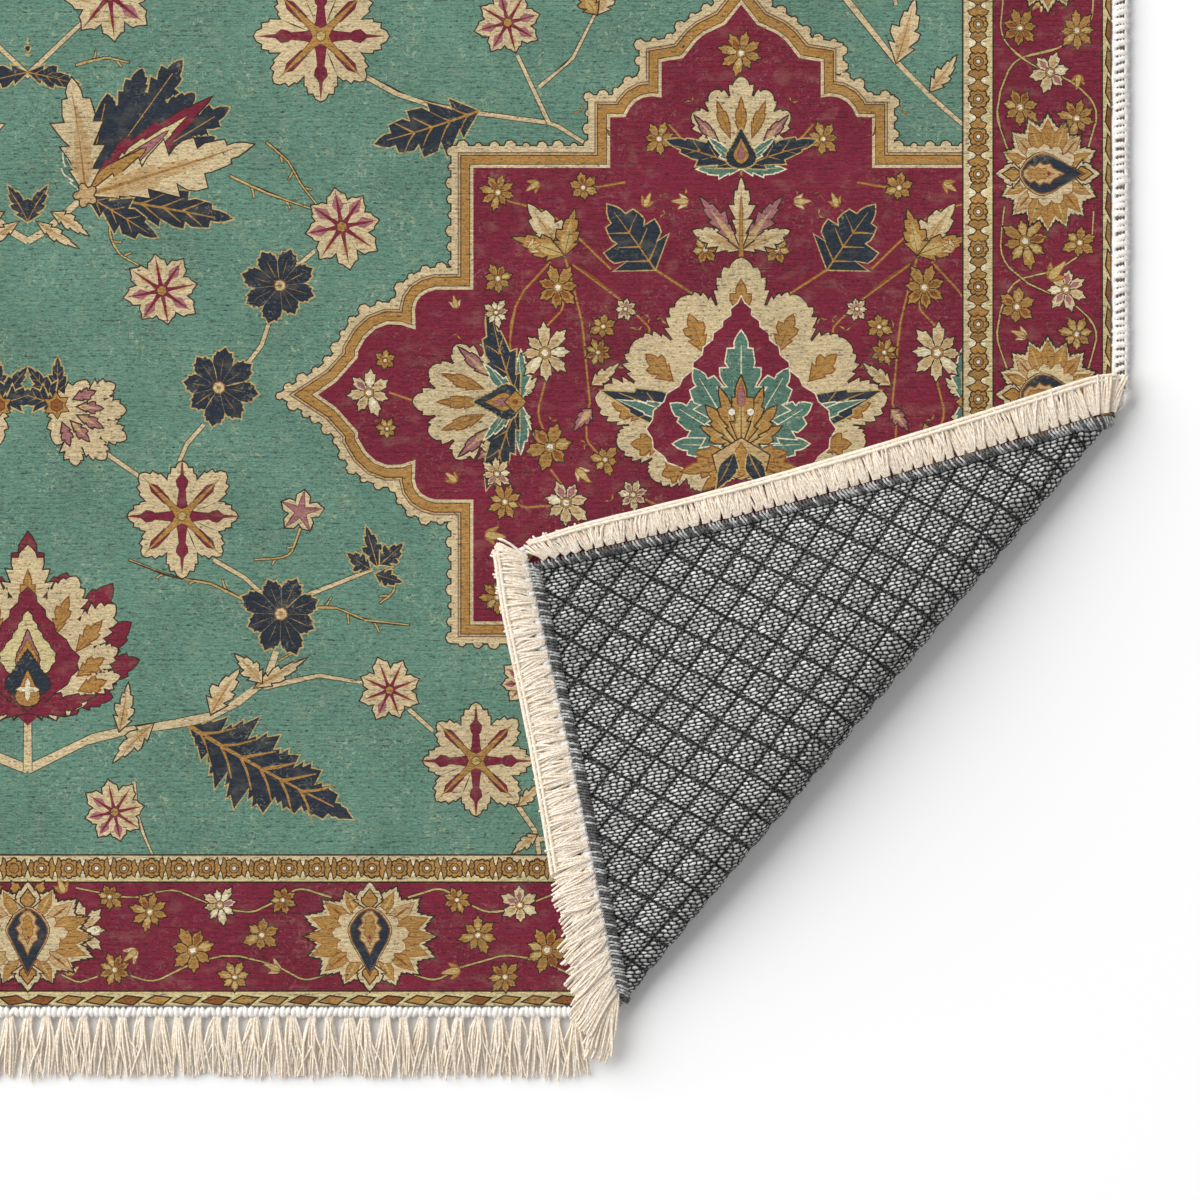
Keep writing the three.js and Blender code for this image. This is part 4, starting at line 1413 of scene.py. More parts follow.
# %% Guard chains
GUARD_RINGS = [
    # radius as a share of the flower's, sides, colour, edge
    (0.62, 8, "brown", None), (0.52, 8, "amber", None), (0.22, 6, "white", "brown"),
]
LINK_HALF = [0.08j, 0.3 + 0.22j, 0.55 + 0.62j, 0.85 + 0.5j, 1 + 0.2j, 0.8 + 0j]
LENS = [-0.6 - 0.1j, -0.15 + 0.5j, 0.5 + 0.3j, 0.15 - 0.4j]
LENS_LENGTH = 0.78


def guard_flower(at, radius, heading):
    outer = petals(8, [(-0.5, 0.74), (-0.25, 0.95)], 0.2, int(abs(at)))
    ink(put(outer, at, radius, heading), "gold", "brown", 0.6)
    for share, sides, colour, edge in GUARD_RINGS:
        ink(put(ring_of(share, sides), at, radius), colour, edge, 0.3)


def guard_link(at, heading, reach, breadth):
    for turn in (0, 180):
        shape = stretched(mirrored(LINK_HALF), at, heading + turn, reach, breadth)
        ink(shape, "gold" if turn else "amber", "brown", 0.45)


def along_line(start, end, pitch):
    """How many pieces of about this pitch fit a line, the step between them and its heading."""
    count = round(abs(end - start) / pitch)
    step = (end - start) / count
    return count, step, math.degrees(cmath.phase(step))


def guard_chain(start, end, pitch, radius):
    """Flowers in a row at about this pitch, with two-winged links between them."""
    count, step, heading = along_line(start, end, pitch)
    for k in range(count):
        guard_flower(start + step * (k + 0.5), radius, heading)
        guard_link(start + step * k, heading, abs(step) * 0.5 - radius + 0.5, 5.2 + 1.4 * (k % 2))


def guard_scroll(start, end, pitch, breadth):
    """Long dark-edged lenses that lean one after another along the outer guard."""
    count, step, heading = along_line(start, end, pitch)
    for k in range(count):
        lens = stretched(LENS, start + step * (k + 0.5), heading, pitch * LENS_LENGTH, breadth)
        ink(lens, ("rust", "gold", "amber")[k % 3], "brown", 0.7)

# %% [markdown]
# ## Border flowers and vines
# Palmettes stand along the middle of the burgundy band. Between two of them lies one
# unit of small flowers on a pair of thin vines. Two units take turns on the long sides,
# and the short side and the corner have their own.

# %% Border flowers and vines
PALMETTE_PITCH = 91.56
MEDALLION_UP = 258.4
FIRST_PALMETTE_UP = 100.3
FIRST_UNIT_UP = 140
END_PALMETTE_X = 141.8
SECOND_PALMETTE_X = 283.4
BORDER_MIDDLE_X = 422.8
BORDER_MIDDLE_UP = 33.8
BORDER_VINE = (0.75, 0.6, "straw", "brown")
BOTTOM_REACH = 345
RIGHT_PALMETTES = [MEDALLION_UP + PALMETTE_PITCH * k for k in range(-1, 6)] + [FIRST_PALMETTE_UP]
UNIT_FLOWERS = [
    # two units that take turns, measured from the middle of the palmette below
    flowers([
        ("gold", -11.5, 60.5, 7.6, 1), ("gold", 12, 59.3, 7.6, 2), ("cream", 1, 42, 8.6, 3),
        ("gold", -11.5, 27.6, 8.2, 4), ("gold", 12, 23, 7.4, 5), ("sprig", -2, 72, 6, 6),
        ("sprig", 13, 41, 6, 7),
    ]),
    flowers([
        ("gold", -9.4, 63.6, 10.4, 8), ("gold", 13.2, 63, 7, 9), ("cream", 7.4, 43.6, 8.6, 10),
        ("sprig", 0.6, 48, 9, 11), ("gold", -12.8, 36.4, 8, 12), ("gold", 12, 25, 7.2, 13),
        ("sprig", -9, 24, 6.5, 14),
    ]),
]
UNIT_VINES = [
    [(-16, 8), (-21, 26), (-14, 46), (4, 52), (17, 62), (19, 76)],
    [(16, 8), (20, 26), (10, 38), (-8, 46), (-19, 58), (-18, 78)],
]
CORNER_FLOWERS = flowers([
    ("gold", 396, 48, 8, 1), ("gold", 392, 20, 8, 2), ("gold", 432, 66, 9, 3), ("cream", 410, 66, 8, 4),
    ("gold", 378, 35, 9, 5), ("cream", 360, 22, 7.6, 6), ("gold", 352, 46, 7.6, 7),
    ("sprig", 402, 76, 7, 8), ("sprig", 367, 50, 7, 9), ("gold", 436, 133, 7.6, 10),
    ("cream", 424, 128, 6.5, 11), ("gold", 409, 137, 8, 12), ("sprig", 413, 124, 6, 13),
])
CORNER_VINES = [
    [(406, 27), (392, 36), (378, 26), (360, 34), (344, 42)], [(416, 52), (424, 64), (410, 76), (418, 84)],
]
BOTTOM_FLOWERS = flowers([
    # from the long middle line to the first palmette's far side, then mirrored about that palmette
    ("gold", 2, 49, 8, 1), ("cream", 22, 36, 10.8, 2), ("sprig", 15, 52, 7, 3),
    ("gold", 34, 50.2, 5.6, 4), ("gold", 50.6, 44, 7.5, 5), ("sprig", 45, 28.2, 7, 6),
    ("gold", 68.4, 28.2, 10, 7), ("cream", 79.6, 46.9, 7.5, 8), ("gold", 97, 34.4, 7.5, 9),
    ("gold", 105.7, 49, 5.6, 10), ("gold", 36, 20, 6.6, 11), ("sprig", 17.4, 17.8, 6.6, 12),
    ("gold", 85.8, 17, 6.6, 13), ("sprig", 104.5, 19.9, 7, 14), ("gold", 2.9, 26, 7, 15),
])
BOTTOM_VINES = [
    [(126, 50), (113, 53.5), (104, 49), (92, 44), (77, 47), (60, 53), (44, 50), (30, 52), (20, 54)],
    [(128, 20), (115, 16), (102, 22), (84, 26), (67, 22), (52, 15.5), (36, 19), (22, 15), (14, 18)],
]


def right_border():
    """The long side: the last unit ends at the rug's middle, the lowest at the corner's own flowers."""
    for k, up in enumerate(RIGHT_PALMETTES):
        at = complex(BORDER_MIDDLE_X, up)
        top = PALMETTE_PITCH * 0.5 if k == 6 else PALMETTE_PITCH
        if up > FIRST_UNIT_UP:
            for points in UNIT_VINES:
                vine([(at.real + x, at.imag + y) for x, y in points if y < top + 1], *BORDER_VINE)
            for flower in UNIT_FLOWERS[k % 2]:
                if flower.up < top - 4:
                    plant(flower, at)
        border_palmette(at, 0, 20.5, 24, k)


def bottom_border():
    """The short side: one unit, its mirror image beyond the first palmette, and a part of a third."""
    for sign, middle in ((1, 0.0), (-1, 2 * END_PALMETTE_X), (1, 2 * END_PALMETTE_X)):
        for points in BOTTOM_VINES:
            vine([(middle + sign * x, up) for x, up in points], *BORDER_VINE)
        for flower in BOTTOM_FLOWERS:
            x = middle + sign * flower.x
            if x < BOTTOM_REACH and (sign < 0 or flower.x > 3 or middle == 0):
                plant(flower._replace(x=x, seed=flower.seed + int(middle)))
    for k, x in enumerate((END_PALMETTE_X, SECOND_PALMETTE_X)):
        border_palmette(complex(x, BORDER_MIDDLE_UP), -90, 21.5, 28, 20 + k)


def corner_border():
    for points in CORNER_VINES:
        vine(points, *BORDER_VINE)
    for flower in CORNER_FLOWERS:
        plant(flower)
    border_palmette(complex(BORDER_MIDDLE_X, BORDER_MIDDLE_UP), 0, 20.5, 21, 31)


print("palmettes on the long side stand at", [round(up) for up in sorted(RIGHT_PALMETTES)])

# %% [markdown]
# ## One quarter of the print
# The print is the same in all four quarters of the rug. One quarter is laid here from
# the field outward, so that the border covers what runs under it. Motifs that stand on
# a middle line are drawn whole, and the cloth's edge cuts off what reaches past it.

# %% Laying the print
INNER_GUARD_X, INNER_GUARD_UP = 394.0, 62
OUTER_GUARD_X, OUTER_GUARD_UP = 448.6, 7.2

open_field()
great_palmette(complex(0, 128), 90, 68, 2)
medallion(complex(295.7, MEDALLION_UP))
medallion(complex(0, RUG_Y))
border_bands()
guard_chain(complex(INNER_GUARD_X, INNER_GUARD_UP), complex(INNER_GUARD_X, RUG_Y), 15.7, 3.9)
guard_chain(complex(0, 62.1), complex(388, 62.1), 11.4, 3.8)
guard_scroll(complex(OUTER_GUARD_X, 8), complex(OUTER_GUARD_X, RUG_Y), 12.0, 3.0)
guard_scroll(complex(0, OUTER_GUARD_UP), complex(446, OUTER_GUARD_UP), 12.0, 3.6)
right_border()
bottom_border()
corner_border()
border_palmette(complex(0, BORDER_MIDDLE_UP), -90, 21.5, 28, 22)
blossom(complex(BORDER_MIDDLE_X, RUG_Y), 9, 3, "cream")
print("printed shapes:", len(printed))

# %% [markdown]
# ## Lines that let the cloth bend
# A flat sheet can only bend along its own edges, so lines are cut along the fold. They
# lie close together on the roll and wide apart on the flap. A few lines across them
# keep the triangles short.

# %% Fold lines
FOLD_MARGIN = 60.0
LINES_FROM = -16.0
ROLL_REACH = 26.0
LINES_TO = 190.0
FLAP_STEPS = 6
ACROSS_STEP = 12


def fold_place(along, outward):
    return FOLD_START + FOLD_ALONG * along + FOLD_OUTWARD * outward


def fold_lines(step):
    """Lines along the fold and across it; the roll's are one step apart."""
    offsets, offset = [], LINES_FROM
    while offset < LINES_TO:
        offsets.append(offset)
        offset += step if offset < ROLL_REACH else FLAP_STEPS * step
    low, high = -FOLD_MARGIN, FOLD_LENGTH + FOLD_MARGIN
    lines = [[fold_place(low, offset), fold_place(high, offset)] for offset in offsets]
    across = range(-48, int(FOLD_LENGTH) + 60, ACROSS_STEP)
    return lines + [[fold_place(k, offsets[0]), fold_place(k, offsets[-1])] for k in across]


print("lines that let the cloth bend:", len(fold_lines(2.0)))

# %% [markdown]
# ## A sheet becomes a closed, folded cloth
# The upper side carries the pattern. Its border is drawn down to make the cut edge, and
# a plainer lower side closes it. The lower side is cut along the same border points, so
# that the two weld without a gap. Only then is every corner carried round the fold.

# %% Closed cloth from two flat sides
WELD_HEIGHT = 0.001
WELD_DISTANCE = 0.01


def border_loop(shape):
    """The corners of a flat mesh's border, in order."""
    following = {}
    for edge in shape.edges:
        if edge.is_boundary:
            following.setdefault(edge.verts[0], []).append(edge.verts[1])
            following.setdefault(edge.verts[1], []).append(edge.verts[0])
    start = next(iter(following))
    loop, before = [start], None
    while True:
        ahead = [v for v in following[loop[-1]] if v is not before]
        before = loop[-1]
        if ahead[0] is start:
            return loop
        loop.append(ahead[0])


def flat_faces(shape, sheet, height, colours=None):
    """Adds a cut sheet to a mesh at a height; the colour numbers become material numbers."""
    points, triangles, tops = sheet
    corners = [shape.verts.new((p[0], p[1], height)) for p in points]
    for triangle, top in zip(triangles, tops):
        if len(set(triangle)) == 3:
            face = shape.faces.new([corners[k] for k in triangle])
            face.material_index = colours[top] if colours and top >= 0 else 0


def close_below(shape, lines, top, under):
    """Gives a flat sheet its cut edge and its lower side."""
    loop = [v.co.copy() for v in border_loop(shape)]
    rim = [edge for edge in shape.edges if edge.is_boundary]
    made = bmesh.ops.extrude_edge_only(shape, edges=rim)
    for part in made["geom"]:
        if isinstance(part, bmesh.types.BMVert):
            part.co.z = under
        elif isinstance(part, bmesh.types.BMFace):
            part.smooth = False
    below = cut_sheet([complex(p.x, p.y) for p in loop], (), lines)
    flat_faces(shape, below, under)
    low = [v for v in shape.verts if abs(v.co.z - under) < WELD_HEIGHT]
    bmesh.ops.remove_doubles(shape, verts=low, dist=WELD_DISTANCE)


def without_loose(shape):
    bmesh.ops.delete(shape, geom=[v for v in shape.verts if not v.link_faces], context="VERTS")


def mark_places(shape):
    """Keeps each corner's flat place as a UV map, which the finishes draw on."""
    layer = shape.loops.layers.uv.new("flat")
    for face in shape.faces:
        for corner_loop in face.loops:
            x, y, z = corner_loop.vert.co
            corner_loop[layer].uv = (x / UV_SCALE, y / UV_SCALE)


def folded_object(shape, name, finish):
    """A Blender object from a flat shape: every corner is carried round the fold and into metres."""
    for vert in shape.verts:
        u, v, height = vert.co
        vert.co = fold(u, v, height) * MM
    bmesh.ops.recalc_face_normals(shape, faces=shape.faces)
    without_loose(shape)
    mesh = bpy.data.meshes.new(name)
    shape.to_mesh(mesh)
    shape.free()
    mesh.materials.append(finish.material)
    made = bpy.data.objects.new(name, mesh)
    bpy.context.collection.objects.link(made)
    print(f"{name}: {len(mesh.polygons)} faces")
    return made

# %% [markdown]
# ## The face's finish
# The face is printed chenille. The print has the colours, and the finish adds what
# every part of it shares: rows of weave with short dark dashes of painted shade in the
# grooves between them, a heather of light and dark fibres, and pale curled scratches
# in loose groups.

# %% The printed face
WEAVE_ROW = 2.1
UV_SCALE = 2 * RUG_Y
Cloud = namedtuple("Cloud", "across up detail shift_u shift_v", defaults=(2.0, 0.0, 0.0))
FACE_CLOUDS = {
    # how fast each noise changes across and up the rug, for each millimetre, and its detail
    "wobble": Cloud(0.04, 0.04), "dots": Cloud(0.62, 0.85, 1.0), "fibre": Cloud(0.7, 1.9, 3.0),
    "streak": Cloud(0.22, 1.0, 2.0, 0.0, 30.0), "fuzz": Cloud(2.0, 2.6),
    "patches": Cloud(0.025, 0.03), "groups": Cloud(0.06, 0.05), "scratch": Cloud(0.40, 0.46, 1.0),
    "broken": Cloud(0.36, 0.36, 1.0, 40.0), "dusty": Cloud(0.11, 0.16, 4.0, 0.0, 90.0),
}
HEATHER = {"fibre": 1.5, "streak": 1.1, "fuzz": 1.1, "patches": 0.55}
DASH_ACROSS, DASH_STEP = 0.42, 7.3


def face_finish():
    cloth = Finish("printed_chenille", roughness=0.92, sheen=0.12)
    print_colour = cloth.node("ShaderNodeVertexColor", {"layer_name": "print"})
    place = cloth.node("ShaderNodeUVMap", {"uv_map": "flat"})
    u, v = [axis * UV_SCALE for axis in cloth.split(place)]
    noise = cloth.clouds(u, v, FACE_CLOUDS)

    row = (v + noise["wobble"] * 3.0) / WEAVE_ROW
    number = cloth.maths("FLOOR", row)
    # the grooves between the rows of weave, where the finish paints shade
    gap = cloth.between(cloth.maths("ABSOLUTE", row - number - 0.5), 0.24, 0.04)
    dashes = cloth.cloud(cloth.point(u * DASH_ACROSS, number * DASH_STEP), 1.0, 2.0)
    dots = cloth.between(noise["dots"], 0.655, 0.70)
    # painted shade: short dark dashes in the grooves; the dots are dark flecks of the cloth
    dark = cloth.between(dashes, 0.55, 0.66) * gap * 0.6 + dots * 0.5

    fibre, streak, fuzz, patches = [(noise[name] - 0.5) * strength for name, strength in HEATHER.items()]
    # the heather of fibres, with the grooves a touch darker as painted shade
    shade = fibre + streak + fuzz + patches + 1.0 - gap * 0.035

    scratch = cloth.between(cloth.maths("ABSOLUTE", noise["scratch"] - 0.5), 0.034, 0.008)
    curl = scratch * cloth.between(noise["broken"], 0.44, 0.56)
    red, green = cloth.split(print_colour)
    off_burgundy = cloth.between(green - red, -0.02, 0.04) * 0.7 + 0.3
    pale = curl * (cloth.between(noise["groups"], 0.46, 0.60) + 0.12) * off_burgundy

    tone = cloth.blend(1.0, print_colour, cloth.point(shade, shade, shade), "MULTIPLY")
    tone = cloth.blend(pale * 0.6, tone, cloth.blend(0.45, print_colour, tint("d8d6ac")))
    tone = cloth.blend(cloth.between(noise["dusty"], 0.50, 0.72) * 0.07, tone, tint("cbbf97"))
    tone = cloth.blend(dark, tone, tint("26231f"))
    cloth.paint(Base_Color=tone)
    cloth.relief(noise["fuzz"] * 0.6 + noise["fibre"] * 0.5 - gap * 0.12, 0.0006)
    return cloth

# %% [markdown]
# ## The printed face in four quarters
# The print has so many small shapes that the face is made in four pieces, which meet
# on the rug's middle lines. Lines that no longer part two colours are dissolved, which
# leaves about a third of the triangles. Only the near right quarter folds. The other
# three are mirror images of one flat quarter, which leaves out the smallest strokes.

# %% The printed quarters
INK_NUMBER = {name: k for k, name in enumerate(INK)}
INK_LIST = list(INK.values())
SHOWN_STROKE = 0.3
PLAIN_STROKE = 4.0
MERGE_TURN = math.radians(10.5)
PLAIN_TURN = math.radians(16)
BEND_FROM = -16.5


def shown_shapes(full):
    """The shapes to cut, moved to the rug's own middle; hidden and plain parts lose small strokes."""
    for outline, colour in printed:
        outline = [p - 1j * RUG_Y for p in outline]
        hidden = all(fold_axes(p.real, p.imag)[1] > 0.0 for p in outline)
        if abs(area_of(outline)) > (SHOWN_STROKE if full and not hidden else PLAIN_STROKE):
            yield outline, INK_NUMBER[colour]


def quarter(full, lines):
    """The near right quarter of the face, flat and closed; the full one can bend."""
    outlines, colours = zip(*shown_shapes(full))
    sheet = cut_sheet(rectangle(0.0, -CLOTH_Y, CLOTH_X, 0.0), outlines, lines)
    shape = bmesh.new()
    flat_faces(shape, sheet, FACE_TOP, colours)
    without_loose(shape)
    shape.normal_update()
    still = [v for v in shape.verts if not full or fold_axes(v.co.x, v.co.y)[1] < BEND_FROM]
    kept = set(shape.verts) - set(still)
    edges = [edge for edge in shape.edges if not kept.issuperset(edge.verts)]
    bmesh.ops.dissolve_limit(shape, angle_limit=MERGE_TURN if full else PLAIN_TURN,
                             verts=still, edges=edges, delimit={"MATERIAL"})
    bmesh.ops.triangulate(shape, faces=shape.faces[:])
    close_below(shape, lines, FACE_TOP, FACE_UNDER)
    return shape


def dressed_quarter(name, source, x_sign, y_sign, finish):
    """A copy of a flat quarter, mirrored to its place, coloured and folded."""
    shape = source.copy()
    colour_layer = shape.loops.layers.float_color.new("print")
    for vert in shape.verts:
        vert.co.x *= x_sign
        vert.co.y *= y_sign
    for face in shape.faces:
        for corner_loop in face.loops:
            corner_loop[colour_layer] = INK_LIST[face.material_index]
        face.material_index = 0
    mark_places(shape)
    return folded_object(shape, name, finish)

# %% [markdown]
# ## The quilted backing
# The backing is grey cloth stitched in a diagonal grid. Its cells puff up between the
# stitched lines. Cells are cut fine where the backing shows on the turned corner, and
# once each on the side that lies on the floor.

# %% Quilting
QUILT_PITCH_FALLING = 13.2
QUILT_PITCH_RISING = 11.4
QUILT_PUFF = 1.2
QUILT_PARTS = 6
QUILT_SHOWN = (-15.0, 230.0)
DIAGONAL = cmath.rect(1.0, math.pi / 4)


def quilt_axes(u, v):
    """A place in the diagonal grid, counted in cells."""
    place = complex(u, v) * DIAGONAL.conjugate()
    return place.real / QUILT_PITCH_FALLING, place.imag / QUILT_PITCH_RISING


def puff_at(u, v):
    """How full a cell is at a place: 0 on its stitched lines and 1 in its middle."""
    rise = 1.0
    for cells in quilt_axes(u, v):
        rise *= 1.0 - abs(2.0 * (cells % 1.0) - 1.0) ** 3.0
    return rise


def near_fold(start, along):
    """The stretch of a straight line that lies where the backing shows."""
    slope = (along * FOLD_ALONG.conjugate()).imag
    offset = fold_axes(start.real, start.imag)[1]
    if abs(slope) < 1e-6:
        return []
    ends = sorted((limit - offset) / slope for limit in QUILT_SHOWN)
    return [[start + along * ends[0], start + along * ends[1]]]


def quilt_lines():
    reach = RUG_X + RUG_Y
    lines = []
    for pitch, turn, other in ((QUILT_PITCH_FALLING, 1, 1j), (QUILT_PITCH_RISING, 1j, -1)):
        along = DIAGONAL * other
        span = int(reach / pitch / 1.4) + 1
        for k in range(-span, span + 1):
            start = DIAGONAL * turn * pitch * k
            lines.append([start - along * reach, start + along * reach])
        for k in range(-span * QUILT_PARTS, span * QUILT_PARTS + 1):
            if k % QUILT_PARTS:
                lines.extend(near_fold(DIAGONAL * turn * pitch * k / QUILT_PARTS, along))
    return lines


print("a cell is", QUILT_PITCH_FALLING, "by", QUILT_PITCH_RISING, "mm and", QUILT_PUFF, "mm high")

# %% [markdown]
# ## The backing's finish
# The tweed is made of slanting rows of grains. Each grain is a rounded cell of a skewed
# grid, and a random number gives it its own brightness. Each grain is light in its
# middle and dark at its rim, which is partly the yarn's own tone and partly painted shade
# between the grains, and a painted highlight lies on its side towards the lamp. The
# stitched lines are painted dark as the shade in their grooves, a little ragged, because
# the thread pulls them.

# %% The quilted tweed
GRAIN_ROW = 1.6
GRAIN_LENGTH = 2.8
GRAIN_STEP = 0.37
GRID_TURN = 0.7071
TWEED_CLOUDS = {"ragged": Cloud(1.2, 1.2), "sway": Cloud(0.25, 0.25), "fibre": Cloud(2.6, 1.2, 3.0)}
RIM_BAND = (16.0, 10.0)


def backing_finish():
    """Grey tweed: slanting rows of grains with painted highlights and painted shade between them, and
    painted shade in the stitched grooves.
    """
    cloth = Finish("quilted_tweed", roughness=0.9, sheen=0.03)
    place = cloth.node("ShaderNodeUVMap", {"uv_map": "flat"})
    u, v = [axis * UV_SCALE for axis in cloth.split(place)]
    noise = cloth.clouds(u, v, TWEED_CLOUDS)

    ragged = (noise["ragged"] - 0.5) * 0.085
    grooves = []
    for cells in ((u + v) * (GRID_TURN / QUILT_PITCH_FALLING), (v - u) * (GRID_TURN / QUILT_PITCH_RISING)):
        inside = cloth.maths("FRACT", cells + ragged)
        grooves.append(cloth.between(cloth.maths("ABSOLUTE", inside - 0.5), 0.438, 0.478))
    groove = cloth.maths("MAXIMUM", *grooves)

    column = (u + noise["sway"] * 1.6) / GRAIN_ROW
    number = cloth.maths("FLOOR", column)
    chance = cloth.node("ShaderNodeTexWhiteNoise", {"noise_dimensions": "1D"}, {"W": number})
    row = (v + noise["sway"] * 2.4) / GRAIN_LENGTH + number * GRAIN_STEP + chance * 0.45
    grain_number = cloth.maths("FLOOR", row)
    luck = cloth.node("ShaderNodeTexWhiteNoise", {"noise_dimensions": "2D"},
                      {"Vector": cloth.point(number, grain_number)})

    side = (column - number - 0.5) * 2.0
    end = (row - grain_number - 0.5) * 2.0
    lumpy = (noise["fibre"] - 0.5) * 0.9
    # light in a grain's middle, dark at its rim: partly the yarn's tone, partly painted shade between grains
    grain = cloth.between(side * side + end * end * end * end + lumpy, 0.98, 0.30)
    # a painted highlight on the side of each grain that faces the lamp
    highlight_side = side - 0.30
    painted_highlight = cloth.between(highlight_side * highlight_side * 1.7 + end * end * 1.1 + lumpy, 0.75, 0.0)
    light = grain * (luck * 0.24 + 0.27) + painted_highlight * (luck * 0.56 + 0.18)
    tone = cloth.blend(light, tint("0e0f10"), tint("e8e8e6"))
    # painted shade: the stitched grooves are painted near black
    tone = cloth.blend(groove * (noise["fibre"] * 0.7 + 0.52), tone, tint("090a0b"))
    cloth.paint(Base_Color=tone)
    cloth.relief(grain * 0.9 + noise["fibre"] * 0.3 - groove * 0.7, 0.0022)
    return cloth


def backing_piece(finish):
    """The closed backing, puffed between its stitches where it shows, and folded."""
    edge = rectangle(-CLOTH_X, -CLOTH_Y, CLOTH_X, CLOTH_Y)
    bends = fold_lines(2.5)
    shape = bmesh.new()
    flat_faces(shape, cut_sheet(edge, (), quilt_lines() + bends), 0.0)
    close_below(shape, bends, 0.0, BACKING_TOP)
    mark_places(shape)
    for vert in shape.verts:
        if vert.co.z < WELD_HEIGHT:
            x, y = vert.co.x, vert.co.y
            share = ease((fold_axes(x, y)[1] + RIM_BAND[0]) / RIM_BAND[1])
            vert.co.z = share * QUILT_PUFF * (1.0 - puff_at(x, y))
    return folded_object(shape, "quilted_backing", finish)

# %% [markdown]
# ## Yarn
# Whipping, knots and fringe are all yarn along a path. Each path is a spline with its
# own thickness at each point. One curve holds all the yarn of a piece, and Blender
# turns it into tubes, so thousands of strands take only a few lines.

# %% Yarn along paths
Yarn = namedtuple("Yarn", "points radii closed")
WRAP_POINTS = 10
WRAP_MIDDLE = 2.65


def yarn_object(name, yarns, finish):
    """One mesh of tubes with four flat sides; smooth shading rounds them."""
    curve = bpy.data.curves.new(name, "CURVE")
    curve.dimensions = "3D"
    curve.bevel_depth = MM
    curve.bevel_resolution = 0
    curve.use_fill_caps = True
    for yarn in yarns:
        spline = curve.splines.new("POLY")
        spline.points.add(len(yarn.points) - 1)
        spline.use_cyclic_u = yarn.closed
        for knot, place, radius in zip(spline.points, yarn.points, yarn.radii):
            knot.co = (*(place * MM), 1.0)
            knot.radius = radius
    holder = bpy.data.objects.new(name + "_path", curve)
    bpy.context.collection.objects.link(holder)
    graph = bpy.context.evaluated_depsgraph_get()
    mesh = bpy.data.meshes.new_from_object(holder.evaluated_get(graph))
    bpy.data.objects.remove(holder)
    mesh.name = name
    mesh.materials.clear()
    mesh.materials.append(finish.material)
    for face in mesh.polygons:
        face.use_smooth = True
    made = bpy.data.objects.new(name, mesh)
    bpy.context.collection.objects.link(made)
    print(f"{name}: {len(yarns)} yarns, {len(mesh.polygons)} faces")
    return made


def wrap(at, across, along, reach, rise, lean, radius, merge):
    """One turn of whipping round an edge at a flat place; it swells where it meets its neighbours."""
    points, radii = [], []
    for k in range(WRAP_POINTS):
        angle = 2 * math.pi * k / WRAP_POINTS
        place = at + across * reach * math.cos(angle) + along * lean * math.cos(angle)
        points.append(fold(place.real, place.imag, WRAP_MIDDLE + rise * math.sin(angle)))
        radii.append(radius * (1.0 + merge * abs(math.cos(angle)) ** 1.5))
    return Yarn(points, radii, True)

# %% [markdown]
# ## Whipped edges
# White yarn is wound closely round both long sides. Each turn is one closed loop, with
# its own lean and thickness, and swells at the rims, where real turns press together. A
# looser yarn runs along each rim. Three dark yarns fill the middle as painted shade, so
# that the gaps between the turns look deep. The header of each end is wound the same
# way, but finer.

# %% Whipped edges
SIDE_PITCH = 3.2
SIDE_RADIUS = 1.5
SIDE_SHOWN = 0.55
HEADER_PITCH = 2.2
HEADER_RADIUS = 1.3
GAP_SHADE_RADIUS = 1.5
GAP_SHADE_STEP = 12.0
GAP_SHADE_SPREAD = 1.3
ROLL_STEP = 4.0
ROLL_SHOWN = 0.5
ROLL_HEIGHT = 3.2
EDGE_MIDDLE_X = CLOTH_X + PART_GAP + BINDING_WIDTH / 2
EDGE_MIDDLE_Y = CLOTH_Y + PART_GAP + HEADER_WIDTH / 2


def turned_share(u, v):
    return roll_turn(u, v)[0] / math.pi


def side_wraps(sign, roll):
    """The white turns of yarn along one side, as far as the edge stays flat."""
    made = []
    count = round(2 * CLOTH_Y / SIDE_PITCH)
    for k in range(count):
        v = -CLOTH_Y + 2 * CLOTH_Y * (k + 0.5) / count + roll.uniform(-0.45, 0.45)
        at = complex(sign * EDGE_MIDDLE_X, v)
        if turned_share(at.real, at.imag) < SIDE_SHOWN:
            made.append(wrap(at, sign, 1j, 2.35, 0.85, roll.uniform(-0.2, 0.9),
                             SIDE_RADIUS * roll.uniform(0.94, 1.14), roll.uniform(0.05, 0.5)))
    return made


def header_wraps(sign, roll):
    made = []
    count = round(2 * RUG_X / HEADER_PITCH)
    for k in range(count):
        u = -RUG_X + 2 * RUG_X * (k + 0.5) / count + roll.uniform(-0.2, 0.2)
        made.append(wrap(complex(u, sign * EDGE_MIDDLE_Y), 1j * sign, 1, 1.25, 1.1, roll.uniform(-0.9, 0.5),
                         HEADER_RADIUS * roll.uniform(0.85, 1.15), roll.uniform(-0.1, 0.3)))
    return made


def edge_rolls(sign, roll):
    """Loose yarns along both rims of a side, which let the turns merge there."""
    made = []
    for x in (EDGE_MIDDLE_X - 2.7, EDGE_MIDDLE_X + 2.2):
        points, radii = [], []
        for k in range(round(2 * CLOTH_Y / ROLL_STEP)):
            v = -CLOTH_Y + ROLL_STEP * k
            if turned_share(x, v) < ROLL_SHOWN:
                u = sign * (x + roll.uniform(-0.35, 0.35))
                points.append(fold(u, v, ROLL_HEIGHT + roll.uniform(-0.3, 0.3)))
                radii.append(roll.uniform(0.9, 1.25))
        made.append(Yarn(points, radii, False))
    return made


